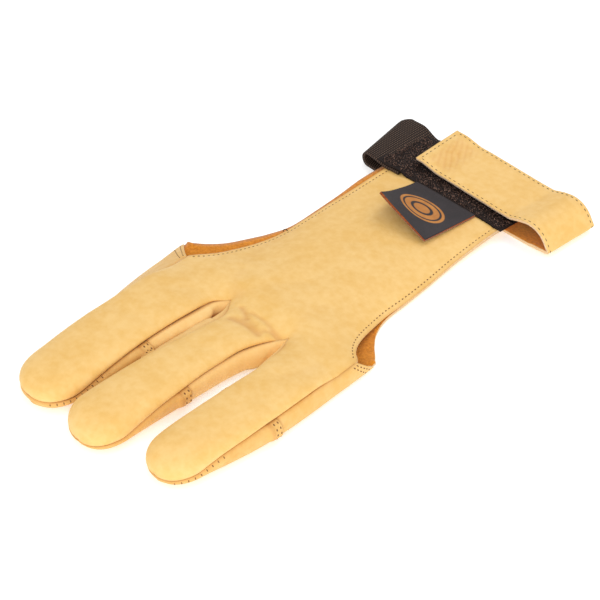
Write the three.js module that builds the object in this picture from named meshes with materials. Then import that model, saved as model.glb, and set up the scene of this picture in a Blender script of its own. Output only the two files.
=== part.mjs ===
// A three-finger leather archery glove with a full palm, lying flat on a table with its closure up.
// Two leather panels, upper and lower, are joined round three fingers by side gussets. The sides of the hand stay
// open for the thumb and the little finger. A leather cap closes the underside and the sides of each fingertip.
// A dark elastic band folds round the right side of the wrist and carries a loop patch. A leather strap folds round
// the left side and comes back over it with a hook patch beneath. A leather tag is sewn in at the loop patch.
// Lengths are millimetres. While it is built, x runs across the glove, y towards the fingertips from the knuckle
// line, and z up from the table. The finished group is moved so that its origin is the middle of its footprint.
import * as THREE from "three";

// Walls and clearances
const LEATHER = 1.1; // glove leather
const STRAP_WALL = 1.2; // closure strap leather
const ELASTIC_WALL = 1.1; // woven elastic
const LOOP_WALL = 1.2; // loop patch with its pile
const HOOK_WALL = 0.8; // hook patch
const TAG_WALL = 1.3; // tag leather
const SEAM_GAP = 0.5; // between two pieces sewn edge to edge
const LAY_GAP = 0.3; // between two pieces that lie on each other

// Hand of the glove
const PALM_LENGTH = 130; // wrist edge to knuckle line
const WRIST_WIDTH = 58.5; // upper panel at the wrist
const WRIST_OFFSET = 7; // middle of the wrist from the middle of the knuckles, to the right
const KNUCKLE_WIDTH = 88; // upper panel at the knuckles
const KNUCKLE_OFFSET = -3.2; // middle of the knuckles
const SIDE_NOTCH = 8; // depth of the cut-outs for thumb and little finger
const LIP_WIDTH = 13; // how far the lower panel reaches past the upper one at a side opening
const LIP_SET_BACK = 9; // how far the lower panel's corner lies behind the upper one's
const KNUCKLE_CROWN = 11.2; // height of the upper panel over the knuckles

// Fingers
const SEAM_HEIGHT = 8.8; // upper seam of the gussets
const FINGER_CROWN = 12.4; // top of a finger
const LOWER_SEAM = 1.8; // lower seam of the gussets
const TIP_SEAM = 4.1; // upper seam at the very tip
const TIP_ROUND = 12.5; // length of the rounded end
const TIP_TUCK = 0.6; // how far the cap's lower edge lies inside the upper one at the tip
const GUSSET_BULGE = 0.9; // how far a gusset swells outwards
const WEB_BLEND = 15; // length over which two fingers leave their web
const OUTER_BLEND = 44; // length over which the outer fingers leave the palm's outline
const WEB_SLOPE = 3; // how far a web's foot lies in front of its top
const HEM = 3.4; // lap of a cap's side over the gusset
const HEM_STEP = 1.6; // length in which the lap comes down
const FINGER_GAP_LEFT = 11.2; // between the left and the middle finger, at mid length
const FINGER_GAP_RIGHT = 6.6; // between the middle and the right finger, at mid length

// Wrist closure. Near is the side towards the fingertips
const BAND_WIDTH = 29; // elastic band, near edge to far edge
const BAND_NEAR = -102.5; // y of the band's near edge
const BAND_TOP_END = 28; // x where the band ends on the upper panel
const BAND_FOOT_END = 16; // x where the band ends under the lower panel
const BAND_FOLD_NEAR = 48.6; // x of the fold at the near edge
const BAND_FOLD_FAR = 55; // x of the fold at the far edge
const BAND_RISE_NEAR = 6.8; // height of the fold at the near edge
const BAND_RISE_FAR = 8; // height of the fold at the far edge
const PATCH_LEFT = -24.5;
const PATCH_RIGHT = 40;
const PATCH_NEAR = -104.3; // y of the patch's near edge at its middle
const PATCH_WIDTH = 26.5;
const PATCH_SLOPE = 0.05; // how much the patch's edges turn towards the fingers, per millimetre to the right
const STRAP_WIDTH = 25.5;
const STRAP_NEAR = -111.3; // y of the strap's near edge
const STRAP_END = 27; // x of the strap's free end at the near edge
const STRAP_SKEW = 2.6; // how much further right its far corner lies
const STRAP_FOLD = -45.3; // x of the fold's nose
const STRAP_FOLD_RISE = 10.9; // height of the arch before the fold
const STRAP_FOLD_FLOAT = 1.1; // height of the fold's underside
const STRAP_FOOT_END = -8; // x where the strap ends under the lower panel
const HOOK_INSET = 3; // hook patch from the strap's free end
const HOOK_END = -33; // x of the hook patch's other end
const HOOK_WIDTH = 22;
const TAG_WIDTH = 30.5;
const TAG_LENGTH = 27.5;
const TAG_LEFT = -12; // x of the tag's left side
const TAG_CURL_RIGHT = 8.6; // how high its right corner stands off the palm
const TAG_CURL_LEFT = 1; // how high its left corner does
const TAG_TWIST = 5; // how far the right corner comes over to the left

// Colours, sampled by eye
const GRAIN_LEATHER = { color: 0xf2c67c, roughness: 0.62 };
const CAP_LEATHER = { color: 0xf0c071, roughness: 0.6 };
const BLACK_ELASTIC = { color: 0x3a302b, roughness: 0.85 };
const BLACK_PILE = { color: 0x1d1719, roughness: 0.95 };
const DARK_LEATHER = { color: 0x33292b, roughness: 0.5 };

// The palm from the wrist to the knuckles, one row for each section. yl and yr are the row's two ends as shares of
// PALM_LENGTH behind the knuckle line. flare runs from the wrist's width to the knuckles'. notchL and notchR are
// shares of SIDE_NOTCH, lipL and lipR of LIP_WIDTH, backL and backR of LIP_SET_BACK. gapeL and gapeR say how far the
// panels stand apart at the edge, from sewn together to the gusset's height. crown is the share of KNUCKLE_CROWN
// that the middle stands above a shut edge. lift is 1 where the panels lie on the strap's and the band's foot.
const PALM = [
  { yl: 1.0, yr: 1.0, flare: 0, notchL: 0, notchR: 0, lipL: -0.03, lipR: 0.2, backL: 0, backR: 0, gapeL: 0, gapeR: 0, crown: 0.1, lift: 1 },
  { yl: 0.89, yr: 0.89, flare: 0, notchL: 0, notchR: 0, lipL: -0.03, lipR: 0.2, backL: 0, backR: 0, gapeL: 0, gapeR: 0, crown: 0.1, lift: 1 },
  { yl: 0.775, yr: 0.775, flare: 0, notchL: 0, notchR: 0, lipL: -0.03, lipR: 0.2, backL: 0, backR: 0, gapeL: 0, gapeR: 0, crown: 0.1, lift: 1 },
  { yl: 0.71, yr: 0.71, flare: 0.05, notchL: 0, notchR: 0.03, lipL: -0.03, lipR: 0.17, backL: 0, backR: 0, gapeL: 0, gapeR: 0, crown: 0.18, lift: 0.6 },
  { yl: 0.62, yr: 0.62, flare: 0.1, notchL: 0, notchR: 0.1, lipL: -0.03, lipR: 0.06, backL: 0, backR: 0, gapeL: 0, gapeR: 0, crown: 0.33, lift: 0.2 },
  { yl: 0.51, yr: 0.51, flare: 0.2, notchL: 0.05, notchR: 0.25, lipL: -0.03, lipR: 0.02, backL: 0, backR: 0, gapeL: 0, gapeR: 0, crown: 0.45, lift: 0 },
  { yl: 0.4, yr: 0.4, flare: 0.35, notchL: 0.21, notchR: 0.47, lipL: -0.03, lipR: 0.05, backL: 0, backR: 0, gapeL: 0, gapeR: 0, crown: 0.54, lift: 0 },
  { yl: 0.32, yr: 0.32, flare: 0.5, notchL: 0.5, notchR: 0.7, lipL: -0.03, lipR: 0.28, backL: 0, backR: 0, gapeL: 0.03, gapeR: 0.1, crown: 0.62, lift: 0 },
  { yl: 0.27, yr: 0.265, flare: 0.6, notchL: 0.7, notchR: 0.77, lipL: 0.03, lipR: 0.45, backL: 0.1, backR: 0.25, gapeL: 0.12, gapeR: 0.25, crown: 0.69, lift: 0 },
  { yl: 0.215, yr: 0.21, flare: 0.7, notchL: 0.7, notchR: 0.81, lipL: 0.08, lipR: 0.63, backL: 0.25, backR: 0.4, gapeL: 0.32, gapeR: 0.45, crown: 0.77, lift: 0 },
  { yl: 0.16, yr: 0.15, flare: 0.8, notchL: 0.62, notchR: 0.84, lipL: 0.17, lipR: 0.82, backL: 0.58, backR: 0.4, gapeL: 0.58, gapeR: 0.65, crown: 0.85, lift: 0 },
  { yl: 0.118, yr: 0.103, flare: 0.88, notchL: 0.43, notchR: 0.63, lipL: 0.25, lipR: 1.0, backL: 0.65, backR: 0.43, gapeL: 0.8, gapeR: 0.85, crown: 0.92, lift: 0 },
  { yl: 0.1, yr: 0.083, flare: 0.95, notchL: 0.35, notchR: 0.22, lipL: 0.18, lipR: 0.97, backL: 0.8, backR: 0.6, gapeL: 0.92, gapeR: 0.95, crown: 0.96, lift: 0 },
  { yl: 0.081, yr: 0.035, flare: 1.0, notchL: 0.14, notchR: -0.03, lipL: 0.03, lipR: 0.9, backL: 0.94, backR: 0.95, gapeL: 1, gapeR: 1, crown: 1.0, lift: 0 },
  { yl: 0.01, yr: -0.01, flare: 1.0, notchL: 0, notchR: 0.02, lipL: 0.08, lipR: 0.78, backL: 0.25, backR: 0.15, gapeL: 1, gapeR: 1, crown: 0.86, lift: 0 },
];
const CORNER_ROW = PALM.length - 2; // the outer gussets start here
const KNUCKLE_ROW = PALM.length - 1;
const CROWN_BLEND = [0.6, 0.15]; // how far the rows behind the knuckle row take the fingers' humps, nearest first

// Fingers from the left, seen from above with the tips pointing away. lean turns a finger to the left, in degrees.
// swell widens its end. splay is how far the foot of each gusset stands outside its top, at the knuckles. lap is
// where each cap's side starts, as a share of the finger. web splits the gap to the next finger at the knuckles.
const FINGERS = [
  { name: "left", length: 74, width: 23.8, lean: -0.8, swell: 1.04, splayL: 1.2, splayR: 2.2, lapL: 0.44, lapR: 0.47, web: 0.65 },
  { name: "middle", length: 83.5, width: 20.2, lean: 1.4, swell: 1.11, splayL: 2.4, splayR: 4.2, lapL: 0.52, lapR: 0.47, web: 0.6 },
  { name: "right", length: 82.5, width: 26.4, lean: 3.8, swell: 1.1, splayL: 1.4, splayR: 9.6, lapL: 0.44, lapR: 0.55, web: 0.5 },
];
const MIDDLE_AXIS = -6.6; // x of the middle finger at mid length

// Sections of a finger. q runs from 0 at the knuckles over 0.5 at the lap to 1 where the tip starts to round, and
// past is a length in millimetres past that place. turn is the angle round the tip, in degrees.
const FINGER_ROWS = [
  { q: 0, past: 0, turn: 0 },
  { q: 0.006, past: 0, turn: 0 },
  { q: 0.02, past: 0, turn: 0 },
  { q: 0.05, past: 0, turn: 0 },
  { q: 0.11, past: 0, turn: 0 },
  { q: 0.19, past: 0, turn: 0 },
  { q: 0.29, past: 0, turn: 0 },
  { q: 0.4, past: 0, turn: 0 },
  { q: 0.5, past: -HEM, turn: 0 },
  { q: 0.5, past: 0, turn: 0 },
  { q: 0.5, past: SEAM_GAP, turn: 0 },
  { q: 0.5, past: SEAM_GAP + HEM_STEP, turn: 0 },
  { q: 0.63, past: 0, turn: 0 },
  { q: 0.76, past: 0, turn: 0 },
  { q: 0.89, past: 0, turn: 0 },
  { q: 1, past: 0, turn: 0 },
  { q: 1, past: 0, turn: 21 },
  { q: 1, past: 0, turn: 41 },
  { q: 1, past: 0, turn: 59 },
  { q: 1, past: 0, turn: 74 },
  { q: 1, past: 0, turn: 84 },
  { q: 1, past: 0, turn: 90 },
];
const LAP_ROW = 8; // the cap's lap starts
const CAP_ROW = 10; // the cap starts at the finger's own surface
const TIP_ROW = FINGER_ROWS.length - 1;

// Seam height and crown along a finger, at shares of its length, as shares of SEAM_HEIGHT and FINGER_CROWN.
const HEIGHTS = [
  { at: 0, seam: 0.86, crown: 0.8 },
  { at: 0.05, seam: 0.9, crown: 0.86 },
  { at: 0.14, seam: 0.97, crown: 0.95 },
  { at: 0.3, seam: 1.0, crown: 1.0 },
  { at: 0.55, seam: 1.0, crown: 1.0 },
  { at: 0.72, seam: 0.86, crown: 0.98 },
  { at: 0.85, seam: 0.66, crown: 0.95 },
];
const TOP_COLUMNS = 8; // across the top of one finger
const FOOT_COLUMNS = 5; // across the bottom of one finger

const mix = (a, b, t) => a + (b - a) * t;
const clamp = (t) => Math.min(1, Math.max(0, t));
const ease = (t) => clamp(t) ** 2 * (3 - 2 * clamp(t));
const radians = (degrees) => (degrees * Math.PI) / 180;
const point = (x, y, z) => new THREE.Vector3(x, y, z);

// Reads a column of a table whose rows have an at value, straight between two rows.
function read(table, column, at) {
  const next = table.findIndex((row) => row.at >= at);
  if (next === 0) return table[0][column];
  if (next < 0) return table[table.length - 1][column];
  const [a, b] = [table[next - 1], table[next]];
  return mix(a[column], b[column], (at - a.at) / (b.at - a.at));
}

// Height of the two panels' outer faces where they are sewn together, and of what they lie on at the wrist.
const SHUT = 2 * LEATHER + LAY_GAP;
const WRIST_LIFT = Math.max(STRAP_WALL, ELASTIC_WALL) + LAY_GAP;

// One end of a palm section. side is -1 on the left and 1 on the right.
function palmEnd(row, side) {
  const end = side < 0 ? "L" : "R";
  const wrist = WRIST_OFFSET + (side * WRIST_WIDTH) / 2;
  const knuckle = KNUCKLE_OFFSET + (side * KNUCKLE_WIDTH) / 2;
  const x = mix(wrist, knuckle, row.flare) - side * SIDE_NOTCH * row["notch" + end];
  const y = -PALM_LENGTH * (side < 0 ? row.yl : row.yr);
  const lift = WRIST_LIFT * row.lift;
  const gape = row["gape" + end];
  const kneeHeight = SEAM_HEIGHT * HEIGHTS[0].seam;
  return {
    top: point(x, y, lift + mix(SHUT, kneeHeight, gape)),
    foot: point(
      x + side * LIP_WIDTH * row["lip" + end],
      y - LIP_SET_BACK * row["back" + end],
      lift + LOWER_SEAM * gape,
    ),
  };
}

// Hump across a palm section, 0 at its edges and 1 in the middle, for a share u from left to right.
const palmHump = (u) => (1 - Math.abs(2 * u - 1) ** 2.3) ** 0.85;

// Hump across a finger, rounder at the shoulders.
const fingerHump = (u) => (1 - Math.abs(2 * u - 1) ** 2.5) ** 0.62;

// A finger's axis: its place at mid length, its direction and its sideways direction, all in plan.
function fingerAxes() {
  const [left, middle, right] = FINGERS;
  const centres = [
    MIDDLE_AXIS - middle.width / 2 - FINGER_GAP_LEFT - left.width / 2,
    MIDDLE_AXIS,
    MIDDLE_AXIS + middle.width / 2 + FINGER_GAP_RIGHT + right.width / 2,
  ];
  return FINGERS.map((finger, i) => {
    const lean = radians(finger.lean);
    const along = point(-Math.sin(lean), Math.cos(lean), 0);
    const across = point(Math.cos(lean), Math.sin(lean), 0);
    const start = point(centres[i], finger.length / 2, 0).addScaledVector(along, -finger.length / 2);
    return { along, across, start };
  });
}
const AXES = fingerAxes();

// Where a finger row lies along the finger, in millimetres from the knuckles, at one side of the finger.
function rowLength(finger, row, side) {
  const straight = finger.length - TIP_ROUND;
  const lap = finger.length * (side < 0 ? finger.lapL : finger.lapR);
  const q = row.q <= 0.5 ? lap * row.q * 2 : mix(lap, straight, row.q * 2 - 1);
  return q + row.past + TIP_ROUND * Math.sin(radians(row.turn));
}

// Half the width of a finger, before it is joined to the palm.
function halfWidth(finger, length, turn) {
  const swell = mix(1, finger.swell, ease((length / finger.length - 0.45) / 0.35));
  return (finger.width / 2) * swell * Math.cos(radians(turn));
}

// Points of a finger's outline where it would start if the palm did not widen it.
function freeStart(i, side) {
  return AXES[i].start.clone().addScaledVector(AXES[i].across, side * halfWidth(FINGERS[i], 0, 0));
}

// The knuckle row's five fixed points from left to right: its left end, the two webs and its right end.
function knucklePoints() {
  const left = palmEnd(PALM[KNUCKLE_ROW], -1);
  const right = palmEnd(PALM[KNUCKLE_ROW], 1);
  const webs = [0, 1].map((i) => {
    const x = mix(freeStart(i, 1).x, freeStart(i + 1, -1).x, FINGERS[i].web);
    const share = (x - left.top.x) / (right.top.x - left.top.x);
    const y = mix(left.top.y, right.top.y, share);
    return {
      top: point(x, y, SEAM_HEIGHT * HEIGHTS[0].seam),
      foot: point(x, y + WEB_SLOPE, LOWER_SEAM),
    };
  });
  return [left, ...webs, right];
}
const KNUCKLES = knucklePoints();

// The upper and the lower seam of one side of a finger at a row, with the outward direction in plan.
function fingerSide(i, row, side) {
  const finger = FINGERS[i];
  const { along, across, start } = AXES[i];
  const length = rowLength(finger, row, side);
  const share = length / finger.length;
  const turn = radians(row.turn);
  const half = halfWidth(finger, length, row.turn);
  const pinned = KNUCKLES[i + (side < 0 ? 0 : 1)];
  const outer = (i === 0 && side < 0) || (i === FINGERS.length - 1 && side > 0);
  const leave = 1 - clamp(length / WEB_BLEND);
  const fade = outer ? 1 - ease(length / OUTER_BLEND) : 1 - (1 - leave ** 2) ** 0.6;
  const free = start.clone().addScaledVector(along, length).addScaledVector(across, side * half);
  const shift = pinned.top.clone().sub(freeStart(i, side)).multiplyScalar(fade);
  const seam = mix(SEAM_HEIGHT * read(HEIGHTS, "seam", share), TIP_SEAM, Math.sin(turn) ** 2);
  const top = point(free.x + shift.x, free.y + shift.y, seam);
  const outward = across
    .clone()
    .multiplyScalar(side * Math.cos(turn) * TIP_ROUND)
    .addScaledVector(along, (Math.sin(turn) * finger.width) / 2)
    .normalize();
  const splay = side < 0 ? finger.splayL : finger.splayR;
  const spread = splay * (outer ? 1 : 1 - fade) * (1 - clamp(share)) - TIP_TUCK * ease((share - 0.6) / 0.4);
  const foot = top.clone().addScaledVector(outward, spread);
  foot.z = mix(LOWER_SEAM, LOWER_SEAM * 0.6, Math.sin(turn));
  if (row.q === 0) foot.copy(pinned.foot);
  else if (!outer) foot.addScaledVector(along, WEB_SLOPE * fade);
  else foot.lerp(point(pinned.foot.x, foot.y, foot.z), fade ** 3);
  return { top, foot, outward, bulge: GUSSET_BULGE * (outer ? 1 : 1 - fade) };
}

// A gusset's or a cap's side from its upper seam to its lower one, swelling outwards between them.
function wallPoint(side, share) {
  const p = side.top.clone().lerp(side.foot, share);
  if (side.outward) p.addScaledVector(side.outward, side.bulge * 4 * share * (1 - share));
  return p;
}

// The glove's leather as one surface of shared points, whose faces each belong to a named piece.
const skin = { points: [], faces: [], seams: [] };
const addPoint = (p) => skin.points.push(p) - 1;
function addCell(piece, a, b, c, d) {
  if (a !== b && b !== c) skin.faces.push({ piece, corners: [a, b, c] });
  if (a !== c && c !== d && a !== d) skin.faces.push({ piece, corners: [a, c, d] });
}
// Cells between two rows of points. piece gets the number of the cell and says whose it is.
function addRow(piece, from, to) {
  for (let c = 0; c + 1 < from.length; c++) addCell(piece(c), from[c], from[c + 1], to[c + 1], to[c]);
}

// Shares across a finger, closer together at the shoulders.
const topShares = Array.from({ length: TOP_COLUMNS + 1 }, (_, c) => 0.5 - 0.5 * Math.cos((Math.PI * c) / TOP_COLUMNS));
const footShares = Array.from({ length: FOOT_COLUMNS + 1 }, (_, c) => c / FOOT_COLUMNS);

// Top and bottom of a finger between its two sides, at a row.
function fingerTop(i, row, left, right) {
  const middle = (rowLength(FINGERS[i], row, -1) + rowLength(FINGERS[i], row, 1)) / 2;
  const full = FINGER_CROWN * read(HEIGHTS, "crown", middle / FINGERS[i].length);
  const crown = mix(TIP_SEAM, full, Math.cos(radians(row.turn)) ** 0.62);
  return topShares.map((u) => {
    const p = left.top.clone().lerp(right.top, u);
    p.z += Math.max(0, crown - (left.top.z + right.top.z) / 2) * fingerHump(u);
    return p;
  });
}
function fingerFoot(left, right) {
  return footShares.map((u) => {
    const p = left.foot.clone().lerp(right.foot, u);
    p.z *= Math.abs(2 * u - 1) ** 3;
    return p;
  });
}

// Rows of the palm, over all three fingers' columns.
function palmTop(r) {
  const row = PALM[r];
  const [left, right] = [palmEnd(row, -1).top, palmEnd(row, 1).top];
  const span = KNUCKLES[3].top.x - KNUCKLES[0].top.x;
  const humps = r === KNUCKLE_ROW ? 1 : (CROWN_BLEND[KNUCKLE_ROW - 1 - r] ?? 0);
  const shut = WRIST_LIFT * row.lift + SHUT;
  const crown = shut + (KNUCKLE_CROWN - SHUT) * row.crown;
  return FINGERS.flatMap((finger, i) => {
    const ends = [KNUCKLES[i], KNUCKLES[i + 1]].map((k) => (k.top.x - KNUCKLES[0].top.x) / span);
    const knuckle = fingerTop(i, FINGER_ROWS[0], KNUCKLES[i], KNUCKLES[i + 1]);
    const all = topShares.map((share, c) => {
      const u = mix(ends[0], ends[1], share);
      const p = left.clone().lerp(right, u);
      p.z += (crown - p.z) * palmHump(u);
      p.z = mix(p.z, knuckle[c].z, humps);
      return p;
    });
    return i ? all.slice(1) : all;
  });
}
function palmFoot(r) {
  const row = PALM[r];
  const [left, right] = [palmEnd(row, -1).foot, palmEnd(row, 1).foot];
  const humps = r === KNUCKLE_ROW ? 1 : (CROWN_BLEND[KNUCKLE_ROW - 1 - r] ?? 0);
  const span = KNUCKLES[3].foot.x - KNUCKLES[0].foot.x;
  return FINGERS.flatMap((finger, i) => {
    const ends = [KNUCKLES[i], KNUCKLES[i + 1]].map((k) => (k.foot.x - KNUCKLES[0].foot.x) / span);
    const knuckle = fingerFoot(KNUCKLES[i], KNUCKLES[i + 1]);
    const all = footShares.map((share, c) => {
      const u = mix(ends[0], ends[1], share);
      const p = left.clone().lerp(right, u);
      const flat = WRIST_LIFT * row.lift;
      p.z = flat + (p.z - flat) * Math.abs(2 * u - 1) ** 12;
      if (r === KNUCKLE_ROW) return knuckle[c];
      p.z = mix(p.z, knuckle[c].z, humps ** 2);
      return p;
    });
    return i ? all.slice(1) : all;
  });
}

// The points of one wall at a row: the upper panel's edge, the gusset's own points and the lower panel's edge.
function addWall(side, top, foot) {
  const height = side.top.distanceTo(side.foot);
  const gap = Math.min(0.3, SEAM_GAP / height);
  const wall = [top, ...[gap, 0.5, 1 - gap].map((share) => addPoint(wallPoint(side, share))), foot];
  skin.seams.push([wall[0], wall[1]], [wall[3], wall[4]]);
  return wall;
}

// Adds a whole wall from its rows. name is its gusset, cap its finger's cap, capFrom the row where the cap starts.
function addWallCells(rows, side, name, cap, capFrom) {
  for (let r = 0; r + 1 < rows.length; r++) {
    const piece = (c) => {
      if (c === 0 || r === capFrom - 1 || r === capFrom) return "gap";
      if (r < capFrom - 1) return c === 3 ? "gap" : name;
      return cap;
    };
    const [from, to] = side < 0 ? [rows[r + 1], rows[r]] : [rows[r], rows[r + 1]];
    addRow(piece, from, to);
  }
}

const upperPalm = PALM.map((_, r) => palmTop(r).map(addPoint));
const lowerPalm = PALM.map((_, r) => palmFoot(r).map(addPoint));
for (let r = 0; r < KNUCKLE_ROW; r++) {
  addRow(() => "upper_panel", upperPalm[r], upperPalm[r + 1]);
  addRow(() => "lower_panel", lowerPalm[r + 1], lowerPalm[r]);
}

const GUSSETS = ["left_gusset", "left_middle_gusset", "middle_right_gusset", "right_gusset"];
const webWalls = [1, 2].map((k) =>
  addWall(KNUCKLES[k], upperPalm[KNUCKLE_ROW][k * TOP_COLUMNS], lowerPalm[KNUCKLE_ROW][k * FOOT_COLUMNS]),
);
const hems = [];
FINGERS.forEach((finger, i) => {
  const cap = finger.name + "_tip_cap";
  const tops = [upperPalm[KNUCKLE_ROW].slice(i * TOP_COLUMNS, (i + 1) * TOP_COLUMNS + 1)];
  const feet = [lowerPalm[KNUCKLE_ROW].slice(i * FOOT_COLUMNS, (i + 1) * FOOT_COLUMNS + 1)];
  const walls = [-1, 1].map((side) => {
    const web = i + (side < 0 ? -1 : 0);
    if (webWalls[web]) return [webWalls[web]];
    return [CORNER_ROW, KNUCKLE_ROW].map((r) => {
      const end = palmEnd(PALM[r], side);
      const out = { ...end, outward: point(side, 0, 0), bulge: GUSSET_BULGE };
      return addWall(out, upperPalm[r].at(side < 0 ? 0 : -1), lowerPalm[r].at(side < 0 ? 0 : -1));
    });
  });
  for (let r = 1; r <= TIP_ROW; r++) {
    const row = FINGER_ROWS[r];
    const sides = [-1, 1].map((side) => fingerSide(i, row, side));
    if (r < TIP_ROW) {
      tops.push(fingerTop(i, row, ...sides).map(addPoint));
      feet.push(fingerFoot(...sides).map(addPoint));
      walls[0].push(addWall(sides[0], tops[r][0], feet[r][0]));
      walls[1].push(addWall(sides[1], tops[r][TOP_COLUMNS], feet[r][FOOT_COLUMNS]));
    } else {
      // At the very tip the two sides meet in one upright line.
      const [top, foot] = [addPoint(sides[0].top), addPoint(sides[0].foot)];
      const line = addWall(sides[0], top, foot);
      tops.push(topShares.map(() => top));
      feet.push(footShares.map(() => foot));
      walls.forEach((wall) => wall.push(line));
    }
    addRow(() => "upper_panel", tops[r - 1], tops[r]);
    const foot = r < CAP_ROW ? "lower_panel" : r === CAP_ROW ? "gap" : cap;
    addRow(() => foot, feet[r], feet[r - 1]);
  }
  [-1, 1].forEach((side, w) => {
    const extra = walls[w].length - FINGER_ROWS.length;
    addWallCells(walls[w], side, GUSSETS[i + w], cap, CAP_ROW + extra);
    hems.push({ cap, side, rows: walls[w].slice(LAP_ROW + extra, CAP_ROW + extra + 2) });
  });
});

// Outward direction at each point of the skin, from the faces round it.
function skinNormals() {
  const normals = skin.points.map(() => point(0, 0, 0));
  for (const { corners } of skin.faces) {
    const [a, b, c] = corners.map((i) => skin.points[i]);
    const face = b.clone().sub(a).cross(c.clone().sub(a));
    corners.forEach((i) => normals[i].add(face));
  }
  return normals.map((n) => n.normalize());
}
const normals = skinNormals();

// Two edges that are sewn together are cut along one common direction.
for (const [a, b] of skin.seams) {
  const common = normals[a].clone().add(normals[b]).normalize();
  normals[a].copy(common);
  normals[b].copy(common);
}

// Each cap's side starts with a lap that lies on the end of the gusset, and then comes down to the finger's surface.
for (const { cap, side, rows } of hems) {
  const raised = rows.slice(0, -1).map((row) =>
    row.slice(1, 4).map((i) => {
      normals.push(normals[i].clone());
      return addPoint(skin.points[i].clone().addScaledVector(normals[i], LEATHER + LAY_GAP));
    }),
  );
  const add = (from, to) => (side < 0 ? addRow(() => cap, to, from) : addRow(() => cap, from, to));
  raised.slice(1).forEach((row, r) => add(raised[r], row));
  add([...raised.at(-1), rows.at(-2)[4]], rows.at(-1).slice(1));
}

// A closed solid from faces on an open surface: the faces, the same faces one wall further in, and the cut edges.
function thicken(points, directions, faces, wall) {
  const index = new Map();
  const position = [];
  const place = (i, inner) => {
    const key = i + (inner ? "i" : "o");
    if (!index.has(key)) {
      index.set(key, position.length / 3);
      const p = inner ? points[i].clone().addScaledVector(directions[i], -wall) : points[i];
      position.push(p.x, p.y, p.z);
    }
    return index.get(key);
  };
  const edges = new Map();
  const triangles = [];
  for (const [a, b, c] of faces) {
    triangles.push(place(a), place(b), place(c), place(c, true), place(b, true), place(a, true));
    for (const [s, e] of [[a, b], [b, c], [c, a]]) {
      if (edges.has(e + "_" + s)) edges.delete(e + "_" + s);
      else edges.set(s + "_" + e, [s, e]);
    }
  }
  for (const [s, e] of edges.values()) {
    triangles.push(place(e), place(s), place(s, true), place(e), place(s, true), place(e, true));
  }
  const geometry = new THREE.BufferGeometry();
  geometry.setAttribute("position", new THREE.Float32BufferAttribute(position, 3));
  geometry.setIndex(triangles);
  geometry.computeVertexNormals();
  return geometry;
}

const glove = new THREE.Group();
function addPiece(name, geometry, look) {
  const mesh = new THREE.Mesh(geometry, new THREE.MeshStandardMaterial(look));
  mesh.name = name;
  glove.add(mesh);
}
for (const name of new Set(skin.faces.map((face) => face.piece))) {
  if (name === "gap") continue;
  const faces = skin.faces.filter((face) => face.piece === name).map((face) => face.corners);
  addPiece(name, thicken(skin.points, normals, faces, LEATHER), name.endsWith("cap") ? CAP_LEATHER : GRAIN_LEATHER);
}

// A strip or sheet from rows of points, one wall thick below its given face. The given face looks to the left of a
// row's direction, seen along the order of the rows.
function sheet(rows, wall) {
  const width = rows[0].length;
  const points = rows.flat();
  const directions = points.map((_, i) => {
    const [r, c] = [Math.floor(i / width), i % width];
    const last = rows.length - 1;
    const rise = rows[Math.min(last, r + 1)][c].clone().sub(rows[Math.max(0, r - 1)][c]);
    const run = rows[r][Math.min(width - 1, c + 1)].clone().sub(rows[r][Math.max(0, c - 1)]);
    return run.cross(rise).normalize();
  });
  const faces = [];
  for (let r = 0; r + 1 < rows.length; r++) {
    for (let c = 0; c + 1 < width; c++) {
      const a = r * width + c;
      faces.push([a, a + 1, a + width + 1], [a, a + width + 1, a + width]);
    }
  }
  return thicken(points, directions, faces, wall);
}
const steps = (from, to, count) => Array.from({ length: count + 1 }, (_, i) => mix(from, to, i / count));

// Height of the upper panel's face over the wrist, where its sections are alike.
const wristLeft = WRIST_OFFSET - WRIST_WIDTH / 2;
const wristEdge = WRIST_LIFT + SHUT;
const wristCrown = (KNUCKLE_CROWN - SHUT) * PALM[0].crown;
const wristTop = (x) => wristEdge + wristCrown * palmHump(clamp((x - wristLeft) / WRIST_WIDTH));

// Elastic band: from its end on the upper panel out to the right, round the fold and back under the lower panel.
const bandTop = wristTop(BAND_TOP_END) + LAY_GAP + ELASTIC_WALL;
function bandPath(share) {
  const fold = mix(BAND_FOLD_NEAR, BAND_FOLD_FAR, share);
  const rise = mix(BAND_RISE_NEAR, BAND_RISE_FAR, share);
  const centre = fold - rise / 2;
  const top = steps(BAND_TOP_END, centre, 7).map((x) => {
    const z = mix(bandTop, rise, ease((x - PATCH_RIGHT + 3) / (centre - PATCH_RIGHT + 3)));
    return [x, z];
  });
  const round = steps(90, -90, 9).slice(1, -1).map((angle) => {
    const a = radians(angle);
    return [centre + (Math.cos(a) * rise) / 2, rise / 2 + (Math.sin(a) * rise) / 2];
  });
  const foot = steps(centre, BAND_FOOT_END, 3).map((x) => [x, 0]);
  return [...top, ...round, ...foot];
}
const tilted = (x) => PATCH_SLOPE * (x - (PATCH_LEFT + PATCH_RIGHT) / 2);
const bandRows = steps(0, 1, 4).map((share) =>
  bandPath(share).map(([x, z]) => point(x, BAND_NEAR - BAND_WIDTH * share, z)),
);
addPiece("elastic_band", sheet(bandRows.reverse(), ELASTIC_WALL), BLACK_ELASTIC);

// Loop patch: lies on the upper panel and climbs over the end of the band.
const climb = (x) => ease((x - BAND_TOP_END + 5) / 4.5);
const patchTop = (x) => {
  const onPanel = wristTop(x);
  const onBand = Math.max(bandTop, onPanel);
  return mix(onPanel, onBand, climb(x)) + LAY_GAP + LOOP_WALL;
};
const patchNear = (x) => PATCH_NEAR + tilted(x);
const patchRows = steps(1, 0, 3).map((share) =>
  steps(PATCH_LEFT, PATCH_RIGHT, 16).map((x) => point(x, patchNear(x) - PATCH_WIDTH * share, patchTop(x))),
);
addPiece("loop_patch", sheet(patchRows, LOOP_WALL), BLACK_PILE);

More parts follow.
